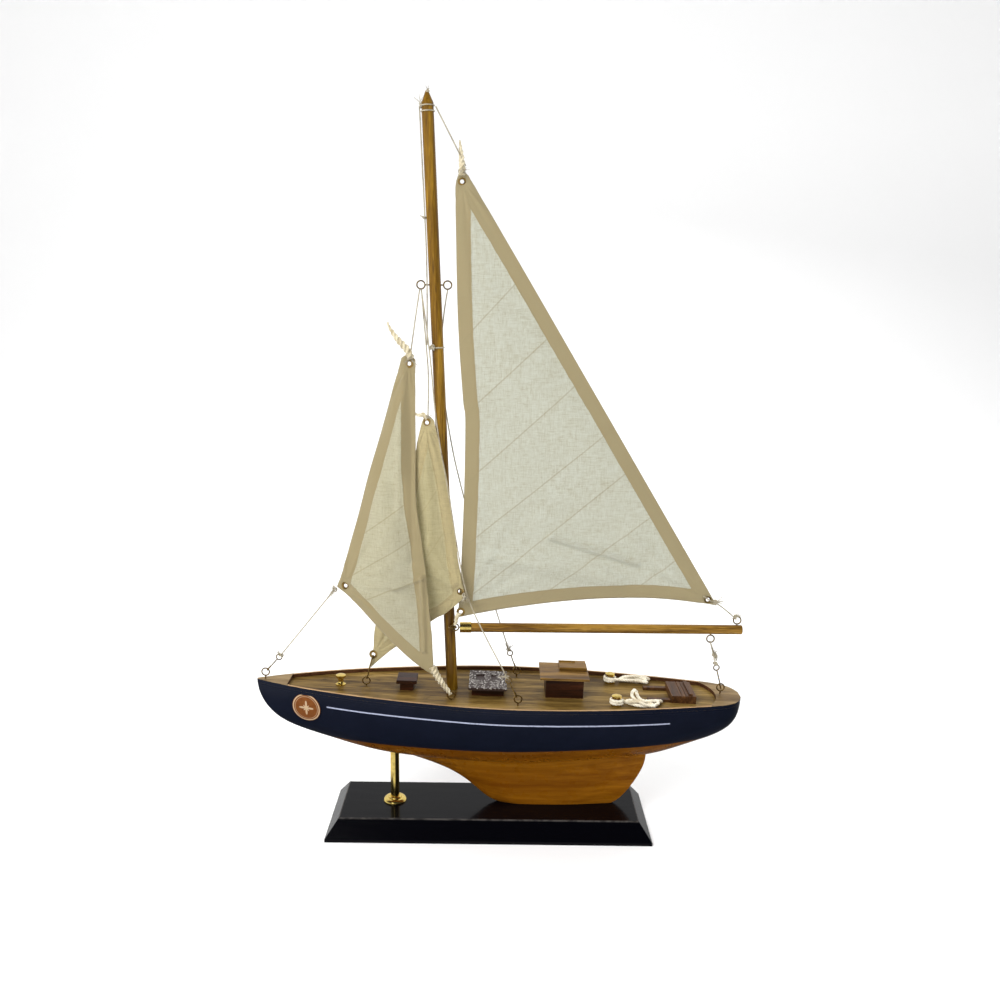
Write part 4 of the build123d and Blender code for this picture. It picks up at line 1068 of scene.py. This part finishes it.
@dataclass
class Rigging:
    """The strings, their knots and the hanks of rope."""

    finish: Finish

    def cords(self) -> list[Cord]:
        """Every string, along the route of its tube."""
        return [
            Cord(
                "main_halyard_cord", "boom",
                mm((-37.55, 0, 473.31), (-28.3, -0.85, 456.0), (-19, -1.71, 438.61)), ("main_halyard",)
            ),
            Cord(
                "masthead_fall_cord", "hull",
                mm(
                    (-47.55, 0, 473.31), (-46.07, -0.6, 443.71), (-44.25, -1, 407.71),
                    (-42.68, -1.4, 371.71), (-42.93, -2.6, 329.31)
                ),
                ("masthead_fall",)
            ),
            Cord(
                "jib_halyard_cord", "hull",
                mm((-47.76, 0, 363.71), (-50.9, -1.2, 343.0), (-53.66, -2.54, 322.11)), ("jib_halyard",)
            ),
            Cord(
                "staysail_halyard_cord", "hull",
                mm(
                    (-46.66, 0.8, 363.61), (-43.16, -5.6, 327.71), (-41.43, -6.4, 308.71),
                    (-42.26, -5.29, 283.71)
                ),
                ("staysail_halyard",)
            ),
            Cord(
                "port_shroud_cord", "hull",
                mm(
                    (-46.66, -0.8, 363.61), (-40.86, -6.8, 327.71), (-37.09, -8.9, 280.21),
                    (-27.86, -10.6, 231.21), (-22.43, -11.6, 196.21), (-16.48, -12.2, 165.21),
                    (-2.59, -17.6, 137.71), (10.94, -24.54, 114.7)
                ),
                ("port_shroud",)
            ),
            Cord(
                "starboard_shroud_cord", "hull",
                mm(
                    (-30.06, 0.6, 363.61), (-37.16, 7.4, 327.71), (-28.44, 8, 265.21),
                    (-19.28, 10.6, 227.21), (-8.6, 15, 186.21), (3.04, 20, 146.21), (12.54, 24.54, 115.8)
                ),
                ("starboard_shroud",)
            ),
            Cord(
                "tack_cord", "hull",
                mm((-142.61, 0, 119.54), (-123.8, -0.3, 143.1), (-104.99, -0.66, 166.63)), ("tack_line",)
            ),
            Cord(
                "outhaul_cord", "boom",
                mm((142.2, -1.9, 165.2), (145.5, -1.55, 162.2), (154.5, -1, 158.5), (164.08, 0.26, 149.72)),
                ("outhaul",)
            ),
            Cord(
                "mainsheet_cord", "mainsheet",
                mm(
                    (153.39, -0.05, 116.25), (148.59, -1.1, 133), (148.59, 0.9, 133), (154.33, 1.55, 118.58)
                ),
                ("mainsheet_line",), far_end="bare"
            ),
        ]

    def knots(self) -> list[Knot]:
        """The knots, where each cord is made fast."""
        return [
            Knot(
                "masthead_knot", "hull", (-0.0467, -0.0012, 0.4735), 0.0014, (1, 0, 0),
                (((-0.0012, -0.001, 0.0045), 0.0012),)
            ),
            Knot(
                "mast_tip_tuft", "hull", (-0.0424, -0.0009, 0.4822), 0.0009, (0, 1, 0),
                (((0.0004, -0.001, 0.0022), 0.001),)
            ),
            Knot(
                "fall_knot", "hull", (-0.0446, -0.0013, 0.4076), 0.0011, (0, 0, 1),
                (((-0.0022, -0.001, 0.001), 0.0008),)
            ),
            Knot(
                "main_head_knot", "boom", (-0.0214, -0.0021, 0.4352), 0.0021, (0, 0.3, 1),
                (((0.0034, -0.0012, 0.0008), 0.0012),), 0.00042
            ),
            Knot(
                "jib_head_knot", "hull", (-0.0540, -0.0036, 0.3212), 0.0021, (0.3, 0, 1),
                (((0.0042, -0.001, -0.0048), 0.0012), ((-0.003, -0.001, -0.0052), 0.0014)), 0.00042
            ),
            Knot(
                "stay_head_knot", "hull", (-0.0425, -0.0060, 0.2838), 0.0014, (0, 0.4, 1),
                (((0.0022, -0.0008, 0.0002), 0.0008),)
            ),
            Knot(
                "gather_knot_port", "hull", (-0.0396, -0.0042, 0.3277), 0.0018, (0.4, 1, 0.2),
                (((0.0042, -0.0016, 0.0004), 0.001),), 0.00042
            ),
            Knot(
                "gather_knot_starboard", "hull", (-0.0363, 0.0055, 0.3277), 0.0018, (0.2, 1, 0.1), (),
                0.00042
            ),
            Knot(
                "jib_tack_knot", "hull", (-0.1052, -0.0012, 0.1668), 0.0021, (0.8, 0.1, 0.6),
                (((-0.0052, -0.001, -0.0052), 0.0016), ((-0.002, -0.0012, -0.0062), 0.0012)), 0.00042
            ),
            Knot(
                "bow_hook_knot", "hull", (-0.1428, -0.0003, 0.1192), 0.0017, (0.6, 0, 0.8),
                (((-0.0046, -0.001, 0.0034), 0.0022),)
            ),
            Knot(
                "port_shroud_knot", "hull", (0.0108, -0.0245, 0.1149), 0.0016, (0.3, 0.2, 0.9),
                (((-0.0046, -0.001, 0.0010), 0.0018),)
            ),
            Knot(
                "starboard_shroud_knot", "hull", (0.0124, 0.0245, 0.1160), 0.0016, (0.2, 0.3, 0.9),
                (((0.0022, -0.001, 0.0054), 0.0014), ((-0.0022, 0, 0.0062), 0.0012))
            ),
            Knot(
                "stay_clew_knot", "hull", (-0.0178, -0.0119, 0.1659), 0.0021, (0.9, 0.2, 0.4),
                (((0.0036, -0.001, -0.0036), 0.0014), ((-0.0016, -0.001, -0.0046), 0.0012)), 0.00042
            ),
            Knot(
                "main_clew_knot", "boom", (0.1502, -0.0016, 0.1607), 0.0018, (0.9, 0.2, -0.3),
                (((0.0050, -0.0008, 0.0034), 0.0018), ((0.0062, -0.0008, 0.0006), 0.0012)), 0.00042
            ),
            Knot(
                "boom_end_knot", "boom", (0.1648, 0.0001, 0.1499), 0.0018, (0.9, 0, -0.6),
                (((0.0020, -0.0008, 0.0036), 0.0012), ((0.0040, -0.0008, 0.0022), 0.0010)), 0.00042
            ),
            Knot(
                "sheet_knot", "mainsheet", (0.1534, -0.0001, 0.1168), 0.0016, (0.2, 0.1, 0.9), (), 0.00042
            ),
            Knot(
                "sheet_tail_knot", "mainsheet", (0.1529, 0.0013, 0.1222), 0.0019, (0.2, 0.1, 0.9),
                (((0.0012, -0.0008, -0.0054), 0.0020), ((0.0006, -0.0004, 0.0060), 0.0016)), 0.00045
            ),
        ]

    def hanks(self) -> list[Cord]:
        """The rope on each aft bollard: a turn and a half round its waist, then loose loops laid aft."""
        port = mm(
            (87.8, -21.5, 96.2), (86.9, -23.0, 96.3), (84.0, -23.9, 96.5), (81.2, -22.6, 96.6),
            (80.2, -20.0, 96.6), (81.6, -17.6, 96.5), (84.4, -16.8, 96.4), (87.2, -18.2, 96.4),
            (88.0, -21.0, 97.6), (86.2, -23.6, 98.0), (83.2, -24.0, 98.2), (80.6, -21.8, 98.3),
            (80.6, -18.8, 98.2), (83.0, -16.9, 98.0), (86.2, -17.2, 97.4), (90.0, -19.4, 96.6),
            (95.0, -21.8, 95.6), (101.0, -23.6, 95.2), (107.0, -23.0, 95.3), (111.6, -21.0, 95.6),
            (112.6, -19.0, 96.2), (110.2, -18.2, 96.9), (104.0, -20.2, 97.4), (97.0, -22.0, 97.6),
            (92.2, -21.8, 97.4), (90.6, -19.8, 97.2), (93.0, -18.0, 97.0), (98.6, -18.4, 96.6),
            (105.0, -20.4, 96.3), (109.6, -23.4, 95.8), (108.8, -25.4, 95.9), (104.0, -25.2, 96.4),
            (98.2, -22.4, 97.9), (94.8, -20.0, 99.6), (94.2, -18.6, 102.0), (95.4, -18.2, 104.4),
            (97.0, -18.4, 104.2), (97.8, -19.4, 101.4), (99.4, -20.6, 98.6), (103.6, -21.6, 97.6),
            (109.4, -19.2, 97.3), (114.2, -16.6, 96.0), (115.0, -15.0, 95.0), (112.8, -14.4, 94.9),
            (107.0, -16.4, 95.2), (100.0, -17.0, 95.4), (94.6, -15.9, 95.2), (91.6, -15.2, 95.1),
        )
        starboard = mm(
            (87.8, 21.5, 96.2), (86.9, 23.0, 96.3), (84.0, 23.9, 96.5), (81.2, 22.6, 96.6),
            (80.2, 20.0, 96.6), (81.6, 17.6, 96.5), (84.4, 16.8, 96.4), (87.2, 18.2, 96.4),
            (88.0, 21.0, 97.6), (86.2, 23.6, 98.0), (83.2, 24.0, 98.2), (80.6, 21.8, 98.3),
            (80.6, 18.8, 98.2), (83.0, 16.9, 98.0), (86.2, 17.4, 97.4), (90.4, 19.6, 96.6),
            (96.0, 20.6, 95.6), (102.0, 20.0, 95.3), (107.6, 19.0, 95.4), (110.4, 20.2, 95.9),
            (109.0, 21.8, 96.8), (103.0, 22.2, 97.3), (96.6, 21.6, 97.5), (91.8, 20.4, 97.4),
            (90.4, 18.8, 97.3), (92.8, 17.8, 97.0), (98.6, 18.6, 96.8), (104.6, 18.0, 96.6),
            (108.8, 16.8, 96.0), (110.6, 17.8, 95.4), (108.8, 19.2, 95.3), (104.0, 23.8, 95.2),
            (98.0, 24.4, 95.3), (92.6, 23.2, 95.6), (90.6, 21.6, 96.0), (93.4, 20.0, 98.6),
            (99.6, 20.4, 98.9), (106.0, 22.6, 98.2), (110.8, 23.8, 96.6), (112.6, 24.0, 95.2),
        )
        common = dict(diameter=0.0018, side=(0.1, 0.2, 1.0), lay="loose", far_end="bare")
        return [
            Cord("port_hank_rope", "hull", port, ("port_rope_hank",), **common),
            Cord("starboard_hank_rope", "hull", starboard, ("starboard_rope_hank",), **common),
        ]

    def build_cords(self) -> None:
        """Make the strings and ropes."""
        for cord in self.cords():
            cord.build(self.finish.cord)
        for hank in self.hanks():
            hank.build(self.finish.rope)

    def build_knots(self) -> None:
        """Make the knots."""
        for knot in self.knots():
            knot.build(self.finish.cord)
        self.finish.dress("masthead_lashing", self.finish.cord)
        self.finish.dress("gather_lashing", self.finish.cord)


@dataclass
class SailPlan:
    """The three sails, their rolled corners and their brass grommets."""

    finish: Finish

    def mainsail(self) -> Sail:
        """The mainsail, from the gooseneck to the boom's end."""
        seams = (
            mm((-7.4, 346.1), (18.5, 374.2)), mm((-9.6, 293.4), (40.6, 340.5)),
            mm((-9.2, 248.3), (59.7, 311.1)), mm((-8.9, 206.1), (79.2, 278.4)),
            mm((-13.9, 164.4), (94.8, 254.3)), mm((36.4, 167.2), (112.9, 224.7)),
            mm((99.3, 171.5), (129.9, 195.0)),
        )
        return Sail(
            "mainsail", "boom",
            ((-0.0204033, -0.0063, 0.1535), (0.145497, -0.0002, 0.1622), (-0.0212033, -0.001, 0.42941)),
            foot=mm(
                (-22.6, 149.6), (-9.8, 152.2), (13.4, 156.7), (47.4, 161.0), (81.8, 163.1), (109.3, 162.9),
                (137.0, 160.4), (151.7, 158.3)
            ),
            head=mm((-24.7, 427.2), (-24.2, 431.5), (-22.4, 435.0), (-20.2, 435.4), (-17.4, 432.9)),
            luff=mm(
                (-22.6, 149.6), (-21.6, 161.6), (-20.2, 189.0), (-18.8, 229.9), (-18.2, 262.6),
                (-18.3, 284.4), (-19.8, 296.0), (-23.2, 345.0), (-25.1, 417.8), (-24.7, 427.2)
            ),
            leech=mm((151.7, 158.3), (109.3, 227.4), (67.4, 295.7), (25.2, 364.4), (-17.4, 432.9)),
            grommets=mm((-20.4, 153.5), (145.5, 162.2), (-21.2, 429.41)),
            cloth=Cloth("main_cloth", 0.0096, seams=seams),
            folds=(
                Fold((0.0383, 0.205), (0.096, 0.187), 0.0016, 0.0026),
                Fold((0.03, 0.19), (0.075, 0.183), 0.003, 0.0014),
                Fold((0.0, 0.192), (0.085, 0.175), 0.0045, 0.0018),
                Fold((0.09, 0.205), (0.125, 0.176), 0.005, 0.0016),
                Fold((-0.012, 0.21), (0.05, 0.17), 0.012, 0.001)
            ),
            belly=0.0032, rows=240, columns=150, hung_from=("mainsail_grommets",),
        )

    def jib(self) -> Sail:
        """The jib, its clew drawn down to the port side of the deck."""
        return Sail(
            "jib", "hull",
            ((-0.103987, -0.0008, 0.168035), (-0.0362, -0.0202, 0.118206), (-0.0542612, -0.0026, 0.31911)),
            foot=mm(
                (-103.7, 168.2), (-92.7, 160.6), (-76.8, 145.6), (-61.0, 131.0), (-46.3, 119.0),
                (-37.6, 113.6)
            ),
            head=mm((-59.3, 320.8), (-56.2, 322.6), (-53.0, 322.0), (-50.3, 319.9)),
            luff=mm((-103.7, 168.2), (-97.2, 186.8), (-78.4, 253.5), (-59.3, 320.8)),
            leech=mm(
                (-37.6, 113.6), (-38.0, 129.0), (-39.7, 151.3), (-43.2, 182.0), (-46.2, 205.0),
                (-49.4, 230.5), (-50.0, 268.0), (-50.3, 294.5), (-50.3, 319.9)
            ),
            grommets=mm((-97.6, 169.4), (-54.3, 317.3)),
            cloth=Cloth(
                "jib_cloth", 0.0086, panel=srgb(198, 195, 172),
                seams=(
                    mm((-63.8, 170.5), (-45.0, 178.7)), mm((-86.0, 205.0), (-50.0, 232.0)),
                    mm((-95.0, 176.0), (-48.0, 206.0))
                ),
                seam_height=0.6
            ),
            folds=(
                Fold((-0.0572, 0.322), (-0.0605, 0.222), 0.0026, 0.0019),
                Fold((-0.053, 0.322), (-0.0525, 0.19), 0.0022, -0.0015),
                Fold((-0.0638, 0.1705), (-0.045, 0.1787), 0.0014, 0.0018),
                Fold((-0.0453, 0.1787), (-0.0432, 0.1305), 0.0014, 0.002),
                Fold((-0.09, 0.168), (-0.05, 0.128), 0.0105, 0.002),
                Fold((-0.062, 0.24), (-0.05, 0.16), 0.006, -0.0018)
            ),
            belly=0.0045, pull=0.0009, rows=230, columns=110, hung_from=("headsail_grommets",),
        )

    def staysail(self) -> Sail:
        """The staysail, inside the jib, its clew led past the mast."""
        return Sail(
            "staysail", "hull",
            ((-0.0798173, -0.0007, 0.120832), (-0.0208033, -0.01, 0.1673), (-0.0428612, -0.0052, 0.28231)),
            foot=mm(
                (-83.6, 109.6), (-73.4, 119.4), (-63.2, 128.3), (-39.3, 147.4), (-30.5, 153.0),
                (-19.0, 163.4)
            ),
            head=mm((-46.2, 279.9), (-44.0, 283.6), (-40.4, 283.2), (-38.2, 281.2)),
            luff=mm(
                (-83.6, 109.6), (-80.1, 123.7), (-77.8, 143.8), (-64.5, 200.0), (-50.7, 257.6),
                (-49.1, 265.6), (-46.2, 279.9)
            ),
            leech=mm(
                (-19.0, 163.4), (-18.4, 169.7), (-22.2, 189.5), (-24.0, 206.1), (-28.4, 236.0),
                (-32.9, 257.6), (-38.2, 281.2)
            ),
            grommets=mm((-79.82, 120.83), (-20.8, 168.7), (-42.86, 279.91)),
            cloth=Cloth(
                "staysail_cloth", 0.0078, hem=srgb(174, 160, 118), panel=srgb(194, 186, 148),
                seams=(mm((-60, 165), (-28, 214)), mm((-66, 190), (-34, 240))), seam_height=0.6
            ),
            folds=(
                Fold((-0.043, 0.278), (-0.040, 0.20), 0.004, 0.0016),
                Fold((-0.024, 0.172), (-0.05, 0.2), 0.005, 0.0016)
            ),
            belly=0.003, pull=0.0008, rows=200, columns=90, hung_from=("headsail_grommets",),
        )

    def tails(self) -> list[Tail]:
        """The corners of cloth drawn through their lashings."""
        return [
            Tail(
                "main_head_tail", "boom",
                mm((-21.6, -1.3, 433.0), (-21.2, -1.2, 438.5), (-22.0, 0.4, 447.0), (-22.9, 2.0, 454.2)),
                (0.0021, 0.0016, 0.0004)
            ),
            Tail(
                "jib_head_tail", "hull",
                mm(
                    (-53.4, -3.0, 320.4), (-55.6, -3.4, 326.0), (-61.6, -3.4, 332.6), (-66.4, -3.0, 339.4),
                    (-68.0, -2.6, 343.2)
                ),
                (0.0023, 0.0019, 0.0005), 2.8
            ),
            Tail(
                "stay_head_tail", "hull",
                mm((-42.6, -5.6, 282.6), (-45.4, -5.6, 285.0), (-48.0, -5.4, 284.6), (-51.0, -5.2, 285.8)),
                (0.0015, 0.0013, 0.0006), 1.2
            ),
            Tail(
                "jib_clew_tail", "hull",
                mm(
                    (-38.4, -20.0, 119.6), (-35.4, -20.6, 113.6), (-31.4, -20.8, 107.6),
                    (-28.0, -20.7, 103.2), (-26.4, -20.6, 100.7)
                ),
                (0.0023, 0.0019, 0.0012), 2.6
            ),
            Tail(
                "main_tack_tail", "boom",
                mm((-21.4, -6.9, 152.6), (-23.2, -7.2, 149.6), (-23.6, -7.1, 146.6), (-24.6, -6.9, 144.2)),
                (0.0016, 0.0013, 0.0008), 1.2
            ),
        ]

    def build(self) -> None:
        """Make the sails."""
        for sail in (self.mainsail(), self.jib(), self.staysail()):
            sail.build()
        for tail in self.tails():
            tail.build(self.finish.tail)
        for node in ("mainsail_grommets", "headsail_grommets"):
            self.finish.dress(node, self.finish.bronze)


@dataclass
class Badge:
    """A round copper disc on the port bow with a plain compass star and a pale rim."""

    finish: Finish
    centre: Point = (-0.1236, -0.030, 0.0874)
    radius: float = 0.0104

    def paint(self) -> Paint:
        """Copper under a printed rim and star."""
        paint = Paint("badge")
        reach = paint.node("Attribute", attribute_name="reach").value("Fac")
        star = paint.node("Attribute", attribute_name="star").value("Fac")
        rim = abs(reach - 0.93).rises(0.025, 0.05, 1.0, 0.0)
        ring = abs(reach - 0.80).rises(0.012, 0.028, 1.0, 0.0)
        marks = rim.most(ring * 0.6).most(star.rises(-0.03, 0.03))
        cloud = paint.noise(None, 420.0, 4.0)
        copper = paint.mix(cloud, srgb(88, 46, 18), srgb(128, 76, 34))
        paint.set(
            Base_Color=paint.mix(marks * 0.62, copper, srgb(206, 184, 150)), Roughness=cloud * 0.2 + 0.25,
            Metallic=0.1, Coat_Weight=0.0, Specular_IOR_Level=0.1, Normal=paint.bump(marks, 0.00008)
        )
        return paint

    @staticmethod
    def second_degree(x: np.ndarray, z: np.ndarray) -> np.ndarray:
        """The six terms of a second-degree surface: one, x, z, x squared, x times z, z squared."""
        return np.stack([np.ones_like(x), x, z, x * x, x * z, z * z], axis=-1)

    def side_of_bow(self, along: np.ndarray, upward: np.ndarray) -> np.ndarray:
        """Where the hull's port side stands: the second-degree surface that best fits its points nearby."""
        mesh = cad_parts["hull_body"].data
        spots = np.empty(3 * len(mesh.vertices))
        mesh.vertices.foreach_get("co", spots)
        spots = spots.reshape(-1, 3)
        offset = spots[:, [0, 2]] - np.array([self.centre[0], self.centre[2]])
        near = (
            np.linalg.norm(offset, axis=1) < 2.2 * self.radius
        ) & (spots[:, 1] < -0.004) & (offset[:, 1] < 0.009)
        fitted = np.linalg.lstsq(self.second_degree(*offset[near].T), spots[near, 1], rcond=None)[0]
        return self.second_degree(*np.broadcast_arrays(along, upward)) @ fitted

    def build(self) -> None:
        """Lay rings of a disc against the bow."""
        reach = np.linspace(0.0, 1.0, 26)[:, None]
        angle = np.linspace(0, 2 * np.pi, 72, endpoint=False)[None, :]
        along, upward = self.radius * 0.96 * reach * np.cos(angle), self.radius * reach * np.sin(angle)
        grid = np.stack(
            [self.centre[0] + along, self.side_of_bow(along, upward) - 0.0002, self.centre[2] + upward],
            axis=-1
        )
        shape = Shape()
        shape.add_grid(grid, wrap=True)
        disc = shape.to_object("bow_disc")
        star = 0.12 + 0.40 * np.abs(np.cos(2 * angle)) ** 7 + 0.16 * np.abs(np.sin(2 * angle)) ** 11 - reach
        disc.data.attributes.new("reach", "FLOAT", "POINT").data.foreach_set(
            "value", np.repeat(reach, 72, axis=1).ravel()
        )
        disc.data.attributes.new("star", "FLOAT", "POINT").data.foreach_set("value", star.ravel())
        thick = disc.modifiers.new("thick", "SOLIDIFY")
        thick.thickness, thick.offset = 0.0005, 0.0
        put_on(disc, "hull", self.paint(), "brass")


@dataclass
class Woodwork:
    """The CAD's hull, deck, deck gear, spars, stand and metal fittings in their finishes."""

    finish: Finish

    def build(self) -> None:
        """Dress every CAD node that stays."""
        finish = self.finish
        finishes = {
            finish.hull: ("hull_body", "keel"), finish.deck: ("deck",),
            finish.blocks: ("bow_block", "stern_block"), finish.rim: ("bulwark_port", "bulwark_starboard"),
            finish.mast: ("mast",), finish.boom: ("boom",), finish.roof: ("cabin_roof", "roof_hatch"),
            finish.red: ("cabin_walls", "fore_hatch_body", "fore_hatch_lid", "skylight_body"),
            finish.plank: ("cockpit_hatch", "hatch_batten", "cockpit_rails"),
            finish.silver: ("skylight_lid",), finish.lacquer: ("stand_base",),
            finish.brass: ("stand_post", "post_flange", "fore_bollard", "aft_bollards", "boom_ferrule"),
            finish.steel: ("keel_screws", "post_screw"),
            finish.bronze: (
                "bow_eye", "stern_eye", "staysail_tack_eye", "jib_sheet_eye", "shroud_eyes",
                "mast_upper_eyes", "gooseneck_mast_eye", "gooseneck_boom_eye", "boom_tail_eye",
                "boom_sheet_eye", "bow_hook", "shroud_hooks", "mainsheet_hook", "staysail_tack_hook"
            ),
        }
        for paint, nodes in finishes.items():
            for node in nodes:
                finish.dress(node, paint)


def main() -> None:
    """Build the camera and cords, then the rest of the model."""
    stage = Stage()
    stage.build()
    finish = Finish()
    rigging = Rigging(finish)
    rigging.build_cords()
    Woodwork(finish).build()
    SailPlan(finish).build()
    rigging.build_knots()
    Badge(finish).build()


if __name__ == "__main__":
    main()
